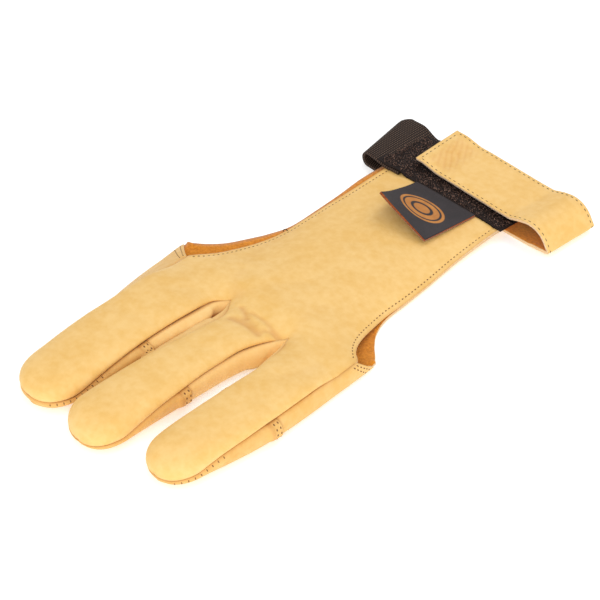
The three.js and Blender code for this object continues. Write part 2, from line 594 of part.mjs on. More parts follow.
// Closure strap: from its free end over the patch to the left, down round the fold and back under the lower panel.
const strapTop = patchTop(0) + LAY_GAP + HOOK_WALL + LAY_GAP + STRAP_WALL;
const strapCurve = new THREE.CatmullRomCurve3(
  [
    { x: STRAP_FOLD + 21, z: strapTop },
    { x: STRAP_FOLD + 15, z: mix(strapTop, STRAP_FOLD_RISE, 0.75) },
    { x: STRAP_FOLD + 11, z: STRAP_FOLD_RISE },
    { x: STRAP_FOLD + 7, z: STRAP_FOLD_RISE * 0.93 },
    { x: STRAP_FOLD + 3.4, z: STRAP_FOLD_RISE * 0.7 },
    { x: STRAP_FOLD + 1, z: STRAP_FOLD_RISE * 0.4 },
    { x: STRAP_FOLD, z: STRAP_FOLD_RISE * 0.25 },
    { x: STRAP_FOLD + 0.9, z: STRAP_FOLD_FLOAT + 0.35 },
    { x: STRAP_FOLD + 3, z: STRAP_FOLD_FLOAT },
    { x: STRAP_FOLD + 13, z: STRAP_FOLD_FLOAT * 0.35 },
    { x: STRAP_FOLD + 22, z: 0 },
  ].map(({ x, z }) => point(x, 0, z)),
  false,
  "centripetal",
);
function strapPath(end) {
  const fold = strapCurve.getPoints(17).map((p) => [p.x, Math.max(0, p.z)]);
  const top = steps(end, fold[0][0], 8).slice(0, -1).map((x) => [x, strapTop + strapRamp(x)]);
  const foot = steps(fold.at(-1)[0], STRAP_FOOT_END, 2).slice(1).map((x) => [x, 0]);
  return [...top, ...fold, ...foot];
}
// The strap's free end rides a little higher over the band's end.
const strapRamp = (x) => Math.max(0, patchTop(x) - patchTop(0)) * ease((x - 14) / 9);
const strapRows = steps(0, 1, 3).map((share) =>
  strapPath(STRAP_END + STRAP_SKEW * share).map(([x, z]) => point(x, STRAP_NEAR - STRAP_WIDTH * share, z)),
);
addPiece("closure_strap", sheet(strapRows, STRAP_WALL), GRAIN_LEATHER);

// Hook patch: sewn to the strap's inner face.
const hookDrop = STRAP_WALL + LAY_GAP;
const hookHeight = (x) => {
  if (x > STRAP_FOLD + 21) return strapTop + strapRamp(x) - hookDrop;
  const curve = strapCurve.getPoints(60);
  const next = curve.findIndex((p) => p.x <= x);
  return curve[next].z - hookDrop;
};
const hookRows = steps(0, 1, 2).map((share) =>
  steps(STRAP_END - HOOK_INSET, HOOK_END, 14).map((x) =>
    point(x, STRAP_NEAR - (STRAP_WIDTH - HOOK_WIDTH) / 2 - HOOK_WIDTH * share, hookHeight(x)),
  ),
);
addPiece("hook_patch", sheet(hookRows, HOOK_WALL), BLACK_PILE);

// Height of the upper panel's face anywhere behind the side openings.
const palmTable = PALM.map((row) => ({ ...row, at: -row.yl }));
function palmHeight(x, y) {
  const at = y / PALM_LENGTH;
  const row = Object.fromEntries(Object.keys(PALM[0]).map((key) => [key, read(palmTable, key, at)]));
  const [left, right] = [palmEnd(row, -1).top, palmEnd(row, 1).top];
  const u = clamp((x - left.x) / (right.x - left.x));
  const crown = WRIST_LIFT * row.lift + SHUT + (KNUCKLE_CROWN - SHUT) * row.crown;
  const edge = mix(left.z, right.z, u);
  return edge + (crown - edge) * palmHump(u);
}

// Tag: sewn in along the patch's near edge, its free corners standing off the palm.
const tagRows = steps(0, 1, 8).map((v) =>
  steps(0, 1, 8).map((u) => {
    const stand = mix(TAG_CURL_LEFT, TAG_CURL_RIGHT, u) * v ** 1.5;
    const x = TAG_LEFT + TAG_WIDTH * u - TAG_TWIST * u * v ** 1.5;
    const y = patchNear(x) + SEAM_GAP + TAG_LENGTH * v - stand ** 2 / TAG_LENGTH;
    return point(x, y, palmHeight(x, y) + LAY_GAP + TAG_WALL + stand);
  }),
);
addPiece("tag", sheet(tagRows, TAG_WALL), DARK_LEATHER);

// Origin at the middle of the footprint, on the table.
const box = new THREE.Box3().setFromObject(glove);
const middle = box.getCenter(new THREE.Vector3());
glove.position.set(-middle.x, -middle.y, -box.min.z);

export default glove;
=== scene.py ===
import itertools

import bpy
import numpy as np
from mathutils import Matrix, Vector


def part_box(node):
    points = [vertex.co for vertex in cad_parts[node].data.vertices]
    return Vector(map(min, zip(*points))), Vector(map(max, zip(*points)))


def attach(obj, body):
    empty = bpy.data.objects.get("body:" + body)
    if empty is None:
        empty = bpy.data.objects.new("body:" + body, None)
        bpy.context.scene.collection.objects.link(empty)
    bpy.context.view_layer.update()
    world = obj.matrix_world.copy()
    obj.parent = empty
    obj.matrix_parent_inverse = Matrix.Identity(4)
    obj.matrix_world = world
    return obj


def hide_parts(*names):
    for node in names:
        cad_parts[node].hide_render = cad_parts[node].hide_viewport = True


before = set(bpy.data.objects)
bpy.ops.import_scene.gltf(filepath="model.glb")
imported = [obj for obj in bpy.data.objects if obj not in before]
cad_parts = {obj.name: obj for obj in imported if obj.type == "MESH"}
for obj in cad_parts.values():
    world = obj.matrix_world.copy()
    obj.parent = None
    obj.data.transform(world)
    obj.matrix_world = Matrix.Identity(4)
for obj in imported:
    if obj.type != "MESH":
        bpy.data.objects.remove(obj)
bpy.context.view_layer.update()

# Upper panel. One piece of pale grain leather, about 1 mm thick, lies over the palm and the tops of three
# fingers. Its sides are cut and topstitched, and its fingers are sewn inside out to the gussets, so that the
# seams lie in soft grooves. All lengths are millimetres, in the frame of the solids moved by SHIFT.
WRIST_Y = -130.0
PATCH_LEFT = -24.5
SHIFT_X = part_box("loop_patch")[0][0] * 1000 - PATCH_LEFT
SHIFT_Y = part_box("upper_panel")[0][1] * 1000 - WRIST_Y
SHIFT = np.array([SHIFT_X, SHIFT_Y, 0])
PANEL_WALL = 1.0
PANEL_CELL = 0.85  # length of one mesh face along the glove
ACROSS = 34  # faces over one finger

# The palm's sections from the wrist to the knuckles. Each has the upper panel's left and right edge, the
# height of its middle, and the lower panel's left and right edge.
PALM_COLUMNS = "upper_left upper_right crown lower_left lower_right"
PALM = [
    ((-22.5, -130, 4.0), (36.3, -130, 4.0), 4.9, (-22.3, -130, 2.5), (38.9, -130, 1.5)),
    ((-22.6, -117, 4.0), (36.2, -117, 4.0), 5.0, (-22.5, -117, 2.5), (38.9, -117, 1.5)),
    ((-22.9, -104, 4.0), (35.8, -104, 4.0), 5.2, (-22.9, -104, 2.5), (38.9, -104, 1.5)),
    ((-23.8, -92, 3.6), (35.1, -92, 3.7), 5.7, (-23.8, -92, 2.1), (38.7, -92, 1.2)),
    ((-25.1, -80, 3.0), (34.5, -80, 3.1), 6.3, (-24.9, -80, 1.5), (37.4, -80, 0.6)),
    ((-27.4, -66, 2.7), (33.8, -66, 2.7), 7.0, (-27.1, -66, 1.2), (36.0, -66, 0.2)),
    ((-29.4, -52, 2.6), (32.8, -52, 2.6), 7.7, (-29.1, -52, 1.0), (35.0, -52, 0.0)),
    ((-30.5, -41, 2.7), (32.4, -41, 3.0), 8.3, (-30.5, -40, 0.6), (37.0, -42, 0.1)),
    ((-32.6, -32, 3.4), (33.0, -32, 3.8), 8.9, (-33.6, -32, 0.3), (39.6, -34.5, 0.3)),
    ((-35.2, -24, 4.6), (34.0, -24, 5.0), 9.6, (-38.2, -26.5, 0.6), (43.0, -26, 0.6)),
    ((-38.3, -18, 5.9), (35.4, -17, 6.0), 10.2, (-42.6, -22.6, 1.0), (47.2, -20, 0.9)),
    ((-41.6, -14, 6.9), (37.4, -11.5, 6.9), 10.6, (-45.0, -20.2, 1.3), (50.6, -16.4, 1.3)),
    ((-46.0, -10.3, 7.5), (41.0, -4.8, 7.5), 11.0, (-46.7, -18.0, 1.6), (53.4, -13.4, 1.6)),
    ((-47.3, -1.3, 7.6), (40.6, 1.3, 7.7), 10.8, (-48.4, -3.6, 1.8), (51.2, -1.0, 1.8)),
]
LAST = len(PALM) - 1
CORNER = 12  # the section where the side openings end and the outer gussets start
WEBS = [(-20.2, -0.4, 7.4), (9.9, 0.8, 7.4)]
KNUCKLES = [PALM[-1][0], *WEBS, PALM[-1][1]]
FEET = [PALM[-1][3], (-20.9, 8.8, 2.0), (9.4, 5.5, 1.8), PALM[-1][4]]

# Each finger's free sides at some lengths in front of the knuckles, before the webs and the palm draw them
# together, and its tip. It rounds from the last of these lengths on.
FINGERS = [
    dict(name="left", at=(0, 25, 45, 61), left=(-50.0, -50.4, -50.4, -49.7),
         right=(-27.4, -27.7, -28.4, -28.3), tip=(-38.6, 74.6)),
    dict(name="middle", at=(0, 25, 45, 70), left=(-15.2, -15.7, -17.6, -19.6),
         right=(2.7, 2.9, 3.7, 4.2), tip=(-7.9, 82.9)),
    dict(name="right", at=(0, 25, 45, 67), left=(13.0, 12.3, 10.2, 7.8),
         right=(38.3, 36.9, 35.6, 33.4), tip=(20.0, 83.0)),
]
# Height of a finger's seam and crown at shares of its length, and of its seam at the very tip.
HEIGHT_AT = (0, 0.05, 0.14, 0.3, 0.55, 0.72, 0.86)
SEAM_HEIGHT = (7.5, 7.7, 8.2, 8.6, 8.5, 6.8, 4.4)
CROWN_HEIGHT = (10.2, 10.8, 11.8, 12.5, 12.5, 12.3, 12.0)
TIP_SEAM = (2.7, 2.4, 4.2)
TIP_ROWS = 20
# How far from a web each inner side is still drawn to it, and how sharply the draw fades.
WEB_DRAW = {(0, 1): (24, 1.7), (1, -1): (18, 1.6), (1, 1): (11, 1.5), (2, -1): (6, 1.5)}
OUTER_BLEND = 44.0  # the outer sides leave the palm's edge over this length
KNUCKLE_BLEND = 20.0
SHOULDER = 12.0  # degrees that a finger's top curls under before it meets its seam
SQUARE = 0.85  # below 1, a round section has fuller corners


def ease(t):
    """Runs from 0 to 1 with flat ends: 3t squared less 2t cubed, held between 0 and 1."""
    t = np.clip(t, 0, 1)
    return t * t * (3 - 2 * t)


def bell(distance, width):
    """1 in the middle, falling to both sides as e to the power of minus (distance over width) squared."""
    return np.exp(-(distance / width) ** 2)


def follow(where, at, values):
    """Smooth curve through the values at the places at, read at where: one cubic between each two places,
    with the slope of the neighbouring chords at both."""
    where, at, values = (np.asarray(a, float) for a in (where, at, values))
    slope = np.gradient(values, at, axis=0)
    i = np.clip(np.searchsorted(at, where, side="right") - 1, 0, len(at) - 2)
    gap = at[i + 1] - at[i]
    t = np.clip((where - at[i]) / gap, 0, 1)
    if values.ndim > 1:
        gap, t = gap[..., None], t[..., None]
    start = (1 + 2 * t) * (1 - t) ** 2 * values[i] + t * (1 - t) ** 2 * gap * slope[i]
    return start + t * t * (3 - 2 * t) * values[i + 1] + t * t * (t - 1) * gap * slope[i + 1]


def dents(points, size, seed):
    """Smooth random heights from -1 to 1: a random value at each corner of a grid of cubes of that size,
    eased between the corners."""
    place = np.asarray(points) / size
    cell = np.floor(place).astype(int)
    part = ease(place - cell)
    values = np.random.default_rng(seed).uniform(-1, 1, (64, 64, 64))
    total = np.zeros(place.shape[:-1])
    for corner in itertools.product((0, 1), repeat=3):
        x, y, z = np.moveaxis((cell + corner) % 64, -1, 0)
        total += values[x, y, z] * np.prod(np.where(corner, part, 1 - part), axis=-1)
    return total


def palm_edge(column, t):
    """An edge of the palm, or its crown, as a smooth curve through the sections at t, from 0 to 1."""
    values = [row[PALM_COLUMNS.split().index(column)] for row in PALM]
    return follow(t, np.linspace(0, 1, len(PALM)), values)


def tip_share(i, length):
    """0 up to where a finger's tip starts to round, then rising evenly to 1 at its end."""
    bend, end = FINGERS[i]["at"][-1], FINGERS[i]["tip"][1]
    return np.clip((length - bend) / (end - bend), 0, 1)


def finger_outline(i, side, length):
    """One side of a finger in plan. Its free side is a smooth curve to where the tip starts to round, then a
    quarter of a slightly square ellipse. At the knuckles it is drawn to its web or to the palm's edge."""
    finger = FINGERS[i]
    at, tip = np.array(finger["at"], float), finger["tip"]
    left, right = np.array(finger["left"]), np.array(finger["right"])
    middle = (follow(length, at, left) + follow(length, at, right)) / 2
    half = (follow(length, at, right) - follow(length, at, left)) / 2
    past = tip_share(i, length)
    middle = middle + (tip[0] - (left[-1] + right[-1]) / 2) * past ** 1.5
    x = middle + side * half * (1 - past ** 2.5) ** 0.45
    free = (right if side > 0 else left)[0]
    pinned = KNUCKLES[i + (side > 0)]
    if (i, side) in WEB_DRAW:
        reach, sharp = WEB_DRAW[i, side]
        fade = (1 - np.clip(length / reach, 0, 1)) ** sharp
    else:
        fade = 1 - ease(length / OUTER_BLEND)
    y = length + pinned[1] * (1 - ease(length / KNUCKLE_BLEND))
    return np.stack([x + (pinned[0] - free) * fade, y], -1)


def finger_side(i, side, length):
    """One side of a finger: its seam line in space, and the level direction that points out, square to
    it."""
    length = np.asarray(length, float)
    end = FINGERS[i]["tip"][1]
    plan = finger_outline(i, side, length)
    step = 0.08
    run = finger_outline(i, side, np.clip(length + step, 0, end))
    run = run - finger_outline(i, side, np.clip(length - step, 0, end))
    run /= np.linalg.norm(run, axis=-1, keepdims=True)
    out = side * np.stack([run[..., 1], -run[..., 0], np.zeros(len(length))], -1)
    if (i, side) in WEB_DRAW:
        # Next to a web it turns towards the fingertips, so that both fingers' sides share it there.
        part = ease(length / 6)[:, None]
        out = out * part + np.array([0.0, 1.0, 0.0]) * (1 - part)
        out /= np.linalg.norm(out, axis=-1, keepdims=True)
    height = follow(length / end, HEIGHT_AT, SEAM_HEIGHT)
    height = height + (TIP_SEAM[i] - height) * tip_share(i, length) ** 2
    return np.concatenate([plan, height[:, None]], -1), out


NEAR_KNUCKLE = [0, 0.15, 0.4]


def finger_rows(i):
    """Lengths along a finger to its tip, closer together beside the knuckles and round the tip, where they
    follow a sine so that the outline turns evenly."""
    bend, end = FINGERS[i]["at"][-1], FINGERS[i]["tip"][1]
    straight = np.linspace(0, bend, int(round(bend / PANEL_CELL)) + 1)
    tip = bend + (end - bend) * np.sin(np.linspace(0, np.pi / 2, TIP_ROWS))
    return np.concatenate([NEAR_KNUCKLE, straight[1:-1], tip])


# Places across a finger: the curled shoulders are part of an ellipse with slightly square corners.
turn = np.radians(np.linspace(180 + SHOULDER, -SHOULDER, ACROSS + 1))
squared = np.sign(np.cos(turn)) * np.abs(np.cos(turn)) ** SQUARE
OVER = squared / squared[-1]
RISE = np.sign(np.sin(turn)) * np.abs(np.sin(turn)) ** SQUARE
RISE = (RISE - RISE[0]) / (1 - RISE[0])
FLAT = 0.5 + 0.5 * np.clip(np.linspace(-1, 1, ACROSS + 1) * 0.55 + 0.45 * OVER, -1, 1)


def finger_top(i, length):
    """The top of a finger: between its two seams each section is the upper part of an ellipse, flatter
    beside the knuckles, and the crown falls to the seam round the tip."""
    left, _ = finger_side(i, -1, length)
    right, _ = finger_side(i, 1, length)
    crown = follow(length / FINGERS[i]["tip"][1], HEIGHT_AT, CROWN_HEIGHT)
    crown = TIP_SEAM[i] + (crown - TIP_SEAM[i]) * (1 - tip_share(i, length) ** 2) ** 0.32
    blend = ease(length / 9)[:, None]
    share = (1 - blend) * FLAT + blend * (0.5 + 0.5 * OVER)
    points = left[:, None] + (right - left)[:, None] * share[..., None]
    rise = (1 - blend) * (1 - np.abs(2 * FLAT - 1) ** 2.6) ** 0.7 + blend * RISE
    points[..., 2] += (crown - (left[:, 2] + right[:, 2]) / 2)[:, None] * rise
    return points


def three_shares(pinned, step):
    """Shares of the palm's width where its columns lie, with the same steps over each of the three
    fingers."""
    ends = (np.array(pinned)[:, 0] - pinned[0][0]) / (pinned[3][0] - pinned[0][0])
    return np.concatenate([ends[k] + (ends[k + 1] - ends[k]) * step[(k > 0):] for k in range(3)])


palm_share = three_shares(KNUCKLES, FLAT)


def palm_top(t):
    """The upper panel over the palm. Between its side edges a section rises in a flat bow. Near the knuckles
    it bends to meet the webs, which aren't on one line, and takes on the three fingers' bows."""
    left, right = palm_edge("upper_left", t), palm_edge("upper_right", t)
    points = left[:, None] + (right - left)[:, None] * palm_share[:, None]
    knuckle = np.concatenate([finger_top(k, np.zeros(2))[0, (k > 0):] for k in range(3)])
    bend = (ease((t - 0.8) / 0.2) ** 2)[:, None, None]
    points[..., :2] += (knuckle[None, :, :2] - points[-1:, :, :2]) * bend
    bow = (1 - np.abs(2 * palm_share - 1) ** 2.3) ** 0.85
    flat = points[..., 2]
    height = flat + (palm_edge("crown", t)[:, None] - flat) * bow
    humps = (ease((t - 0.915) / 0.085) ** 1.5)[:, None]
    points[..., 2] = height + (knuckle[None, :, 2] - height) * humps
    return points


# Creases and soft hollows pressed into the leather, each along a straight run in plan from one place to
# another, with its depth and width.
CREASES = [
    (2.6, 1.2, -4.2, 4.4, 0.7, 1.3),
    (-4.2, 4.6, -9.5, 4.2, 0.25, 1.2),
    (-0.5, 8.8, -13.4, 6.9, 0.75, 2.2),
    (-3.0, 0.9, -18.0, 1.8, 0.55, 1.2),
    (-13.0, 3.8, -19.0, 1.4, 0.45, 1.25),
    (10.5, -1.0, 19.0, -14.0, 0.3, 4.0),
    (-21.0, -3.0, -17.0, -22.0, 0.28, 5.0),
    (8.0, -3.5, -2.0, -26.0, 0.25, 4.0),
    (24.0, -22.0, 30.0, -50.0, 0.3, 5.0),
    (-20.0, -44.0, -2.0, -66.0, 0.22, 4.0),
    (6.0, -58.0, 22.0, -72.0, 0.2, 3.5),
    (-40.0, 2.0, -38.0, 18.0, 0.3, 4.0),
    (20.0, 8.0, 31.0, 16.0, 0.25, 3.5),
    (14.0, 30.0, 33.0, 36.0, 0.2, 3.0),
    (-13.0, 24.0, 1.0, 30.0, 0.2, 3.0),
    (-47.0, 30.0, -33.0, 25.0, 0.2, 3.0),
    (-46.0, 50.0, -34.0, 56.0, 0.2, 4.0),
]


def press(points):
    """Depth of the creases at the points: each is a slightly bowed groove with a bell-shaped section, that
    fades to its ends."""
    depth = np.zeros(points.shape[:-1])
    for x0, y0, x1, y1, deep, wide in CREASES:
        start, run = np.array([x0, y0]), np.array([x1 - x0, y1 - y0])
        size = np.linalg.norm(run)
        share = ((points[..., :2] - start) @ run) / (run @ run)
        bow = 0.06 * np.sin(np.pi * np.clip(share, 0, 1)) * size
        across = ((points[..., :2] - start) @ np.array([-run[1], run[0]])) / size - bow
        beyond = np.maximum(0, np.abs(share - 0.5) - 0.5) * size
        depth += deep * np.exp(-(across / wide) ** 2 - (beyond / (0.7 * wide)) ** 2)
    return depth


LEATHER_DENTS = [(22, 0.22, 3), (9, 0.11, 5), (4, 0.035, 7)]  # size, height and seed


def uneven(points, table):
    """Height of a surface's own unevenness at the points: the sum of the table's dents."""
    return sum(height * dents(points, size, seed) for size, height, seed in table)


def relax(points, faces, weight, times):
    """Moves each point towards the mean of its neighbours, as far as its weight says, as often as asked."""
    pairs = np.concatenate([faces[:, [k, (k + 1) % 4]] for k in range(4)])
    edges = np.unique(np.sort(pairs, axis=1), axis=0)
    edges = edges[edges[:, 0] != edges[:, 1]]
    count = np.bincount(edges.ravel(), minlength=len(points))[:, None]
    for _ in range(times):
        total = np.zeros_like(points)
        np.add.at(total, edges[:, 0], points[edges[:, 1]])
        np.add.at(total, edges[:, 1], points[edges[:, 0]])
        points = points + weight[:, None] * (total / np.maximum(count, 1) - points)
    return points


def number(grid):
    """The numbers of a grid's points, in the grid's own rows and columns."""
    return np.arange(grid.shape[0] * grid.shape[1]).reshape(grid.shape[:2])


def grid_faces(index):
    """Four-sided faces of a grid of point numbers, row by row."""
    return np.stack([index[:-1, :-1], index[:-1, 1:], index[1:, 1:], index[1:, :-1]], -1).reshape(-1, 4)


def linear(hex_colour):
    """Linear colour of an sRGB hex value."""
    value = np.array([int(hex_colour[k:k + 2], 16) for k in (1, 3, 5)]) / 255
    value = np.where(value <= 0.04045, value / 12.92, ((value + 0.055) / 1.055) ** 2.4)
    return (*value.tolist(), 1.0)


def node(tree, kind, settings=None, **sockets):
    """Adds a shader node, sets its properties, and gives each input its value or its link. An input goes by
    its name, or by i and its number."""
    made = tree.nodes.new("ShaderNode" + kind)
    for key, value in (settings or {}).items():
        setattr(made, key, value)
    for key, value in sockets.items():
        numbered = key[0] == "i" and key[1:].isdigit()
        socket = made.inputs[int(key[1:]) if numbered else key.replace("_", " ")]
        if isinstance(value, bpy.types.NodeSocket):
            tree.links.new(value, socket)
        else:
            socket.default_value = value
    return made


def new_material(name, rough=0.5, specular=0.5, sheen=0.0):
    """A material with its tree and its shader, which gets the roughness, specular level and sheen."""
    material = bpy.data.materials.new(name)
    material.use_nodes = True
    shader = material.node_tree.nodes["Principled BSDF"]
    shader.inputs["Roughness"].default_value = rough
    shader.inputs["Specular IOR Level"].default_value = specular
    shader.inputs["Sheen Weight"].default_value = sheen
    return material, material.node_tree, shader


RGBA = {"data_type": "RGBA"}


def grain_leather(name, pale, deep, groove):
    """Soft grain leather: a pale finish over a warmer skin, mottled in clouds of 12 and 3 mm, with pebbled
    grain of 0.9 mm and hair pores. The seam attribute mixes in the groove colour as painted shade, warmer and
    darker, in the seams, creases and folds."""
    material, tree, shader = new_material(name, specular=0.35, sheen=0.06)
    place = node(tree, "TexCoord").outputs["Object"]
    cloud = node(tree, "TexNoise", Vector=place, Scale=1 / 0.012, Detail=4.0, Roughness=0.6).outputs["Fac"]
    streak = node(tree, "TexNoise", Vector=place, Scale=1 / 0.003, Detail=3.0, Roughness=0.55).outputs["Fac"]
    both = node(tree, "Math", {"operation": "MULTIPLY_ADD"}, i0=streak, i1=0.6, i2=cloud)
    tone = node(tree, "MapRange", Value=both.outputs[0], From_Min=0.59, From_Max=1.03)
    skin = node(tree, "Mix", RGBA, Factor=tone.outputs[0], i6=linear(pale), i7=linear(deep))
    # The seam attribute carries painted shade, and the groove colour is the colour of that shade.
    seam = node(tree, "Attribute", {"attribute_name": "seam"}).outputs["Fac"]
    folded = node(tree, "Mix", RGBA, Factor=seam, i6=skin.outputs[2], i7=linear(groove))
    tree.links.new(folded.outputs[2], shader.inputs["Base Color"])
    soft = node(tree, "TexNoise", Vector=place, Scale=1 / 0.0026, Detail=3.0, Roughness=0.6).outputs["Fac"]
    pebble = node(tree, "TexVoronoi", {"feature": "SMOOTH_F1"}, Vector=place, Scale=1 / 0.0009)
    pore = node(tree, "TexNoise", Vector=place, Scale=1 / 0.0004, Detail=2.0).outputs["Fac"]
    normal = node(tree, "Bump", Strength=0.26, Distance=0.0004, Height=soft).outputs[0]
    normal = node(tree, "Bump", Strength=0.24, Distance=0.00012, Height=pebble.outputs["Distance"],
                  Normal=normal).outputs[0]
    normal = node(tree, "Bump", Strength=0.1, Distance=0.0001, Height=pore, Normal=normal).outputs[0]
    tree.links.new(normal, shader.inputs["Normal"])
    rough = node(tree, "MapRange", Value=streak, To_Min=0.5, To_Max=0.66)
    tree.links.new(rough.outputs[0], shader.inputs["Roughness"])
    shader.inputs["Sheen Roughness"].default_value = 0.45
    return material


def fuzzy(name, pale, deep, size):
    """Cut or napped fibres: two colours in noise of the given size in millimetres, and a soft bump of the
    same size."""
    material, tree, shader = new_material(name, rough=0.92, specular=0.15, sheen=0.25)
    place = node(tree, "TexCoord").outputs["Object"]
    nap = node(tree, "TexNoise", Vector=place, Scale=1000 / size, Detail=4.0, Roughness=0.7).outputs["Fac"]
    tone = node(tree, "MapRange", Value=nap, From_Min=0.3, From_Max=0.7)
    colour = node(tree, "Mix", RGBA, Factor=tone.outputs[0], i6=linear(deep), i7=linear(pale))
    tree.links.new(colour.outputs[2], shader.inputs["Base Color"])
    relief = node(tree, "Bump", Strength=0.5, Distance=0.0003, Height=nap)
    tree.links.new(relief.outputs[0], shader.inputs["Normal"])
    return material


# Smooth side out, suede side in, and the pale fibres of the cut edge between them.
SUEDE = fuzzy("suede side of the leather", "#f29c2f", "#c27010", 0.9)
CUT_EDGE = fuzzy("cut edge of the leather", "#f0d3a4", "#dcae7a", 0.5)
LEATHER = [grain_leather("grain leather", "#f2c87e", "#eabb69", "#c2762c"), SUEDE, CUT_EDGE]


def put(name, points, faces, materials, slot, nodes=(), wall=0.0, seam=None, chart=None):
    """Makes a piece from points in millimetres, with its wall on the inner side, and lets it ride on the
    glove. The chart is its flat pattern in metres."""
    mesh = bpy.data.meshes.new(name)
    used, renumber = np.unique(faces, return_inverse=True)
    placed = (np.reshape(points, (-1, 3))[used] + SHIFT) / 1000
    placed[:, 2] = np.maximum(placed[:, 2], 0)
    lists = [list(dict.fromkeys(face)) for face in renumber.reshape(faces.shape).tolist()]
    mesh.from_pydata(placed.tolist(), [], [face for face in lists if len(face) > 2])
    mesh.polygons.foreach_set("use_smooth", [True] * len(mesh.polygons))
    if seam is not None:
        attribute = mesh.attributes.new("seam", "FLOAT", "POINT")
        attribute.data.foreach_set("value", np.ravel(seam)[used])
    if chart is not None:
        loops = np.zeros(len(mesh.loops), int)
        mesh.loops.foreach_get("vertex_index", loops)
        flat = np.reshape(chart, (-1, 2))[used][loops]
        mesh.uv_layers.new(name="cut").data.foreach_set("uv", flat.ravel())
    for material in materials:
        mesh.materials.append(material)
    mesh.update()
    piece = bpy.data.objects.new(name, mesh)
    bpy.context.collection.objects.link(piece)
    if wall:
        shell = piece.modifiers.new("wall", "SOLIDIFY")
        shell.thickness = wall / 1000
        shell.offset = -1
        shell.use_quality_normals = True
        shell.material_offset = 1 if len(materials) > 1 else 0
        shell.material_offset_rim = 2 if len(materials) > 2 else shell.material_offset
    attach(piece, "root")
    if nodes:
        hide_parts(*nodes)
    return piece


GROOVE_DEPTH = 0.7
GROOVE_WIDTH = 1.7


def groove(distance):
    """Depth of a seam's groove at a distance from the seam line: deepest on it and gone at its width."""
    return GROOVE_DEPTH * (1 - np.clip(distance / GROOVE_WIDTH, 0, 1)) ** 2


def shade(distance):
    """How much painted shade the seam's fold puts on the leather at a distance from it."""
    return 0.37 * np.exp(-(distance / 0.5) ** 1.3)


def row_distance(points, backwards=False):
    """Distance along each row from its first point, or from its last one."""
    steps = np.linalg.norm(np.diff(points, axis=1), axis=-1)
    start = np.zeros((len(points), 1))
    if backwards:
        return np.concatenate([np.cumsum(steps[:, ::-1], axis=1)[:, ::-1], start], 1)
    return np.concatenate([start, np.cumsum(steps, axis=1)], 1)


# Palm rows run evenly over the sections' real lengths.
fine = np.linspace(0, 1, 900)
middle_line = (palm_edge("upper_left", fine) + palm_edge("upper_right", fine)) / 2
run = np.concatenate([[0], np.cumsum(np.linalg.norm(np.diff(middle_line, axis=0), axis=1))])
palm_t = np.interp(np.linspace(0, run[-1], int(run[-1] / PANEL_CELL)), run, fine)
palm = palm_top(palm_t)
palm_index = number(palm)
points, faces = [palm.reshape(-1, 3)], [grid_faces(palm_index)]
finger_index, finger_length = [], []
count = palm_index.size
for i in range(3):
    length = finger_rows(i)
    top = finger_top(i, length)[1:]
    index = count + number(top)
    index[-1] = index[-1, 0]
    index = np.concatenate([palm_index[-1:, i * ACROSS:(i + 1) * ACROSS + 1], index])
    points.append(top.reshape(-1, 3))
    faces.append(grid_faces(index))
    finger_index.append(index)
    finger_length.append(length)
    count += top.shape[0] * top.shape[1]
points, faces = np.concatenate(points), np.concatenate(faces)

# The edges stay, and the leather between them is drawn smooth, most of all over the knuckles.
edge_near, edge_far = row_distance(palm), row_distance(palm, True)
fixed = np.zeros(len(points), bool)
fixed[palm_index[:, 0]] = fixed[palm_index[:, -1]] = fixed[palm_index[0]] = True
for index in finger_index:
    fixed[index[:, 0]] = fixed[index[:, -1]] = True
over_knuckles = (1 - ease((points[:, 1] - 6) / 10)) * ease((points[:, 1] + 34) / 12)
points = relax(points, faces, np.where(fixed, 0.0, 0.55) * over_knuckles, 60)
points = relax(points, faces, np.where(fixed, 0.0, 0.4), 3)
points[:, 2] += uneven(points, LEATHER_DENTS)
pressed = press(points)
points[:, 2] -= pressed


def past_corner(early):
    """Rises from 0 to 1 along the palm's rows where the gussets begin, that many sections before the
    corner."""
    return ease((palm_t - (CORNER - early) / LAST) / 0.03)


# Along its seams the panel sinks into the groove, and its seams and creases get painted shade.
seam = 0.8 * np.clip(pressed - 0.24, 0, 0.45)
sink = np.zeros_like(points)
sewn = past_corner(0.2)
for distance, side in ((edge_near, -1), (edge_far, 1)):
    sink[palm_index.ravel(), 0] -= side * (groove(distance) * sewn[:, None]).ravel()
    seam[palm_index.ravel()] += (shade(distance) * sewn[:, None]).ravel()
for i, (index, length) in enumerate(zip(finger_index, finger_length)):
    index, length = index[1:], length[1:]
    # A seam's painted shade is fainter the closer it comes to the fingertip.
    crisp = np.interp(length / FINGERS[i]["tip"][1], (0, 0.35, 0.55, 0.75, 1), (1, 1, 0.5, 0.35, 0.4))
    for side in (-1, 1):
        _, out = finger_side(i, side, length)
        distance = row_distance(points[index], side > 0)
        np.add.at(sink, index, -out[:, None] * groove(distance)[..., None])
        seam[index] = np.maximum(seam[index], shade(distance) * crisp[:, None])
        if (i, side) == (0, 1):
            # The first finger's edge folds over beside its web, and the fold gets painted shade.
            fold_shade = 0.55 * ease((length - 1) / 3) * (1 - ease((length - 8) / 5))
            seam[index] = np.maximum(seam[index], bell(distance - 1.2, 1.1) * fold_shade[:, None])
    # The last point of the tip's rows is one point, and gets painted shade too.
    sink[index[-1, 0]] = (0, -GROOVE_DEPTH, 0)
    seam[index[-1, 0]] = 0.5
# The webs sink towards the wrist, with painted shade around them.
for k in (1, 2):
    gap = np.linalg.norm(points[palm_index] - points[palm_index[-1, k * ACROSS]], axis=-1)
    sink[palm_index.ravel(), 1] -= groove(gap).ravel()
    seam[palm_index.ravel()] = np.maximum(seam[palm_index], shade(gap)).ravel()
upper_points = points + sink
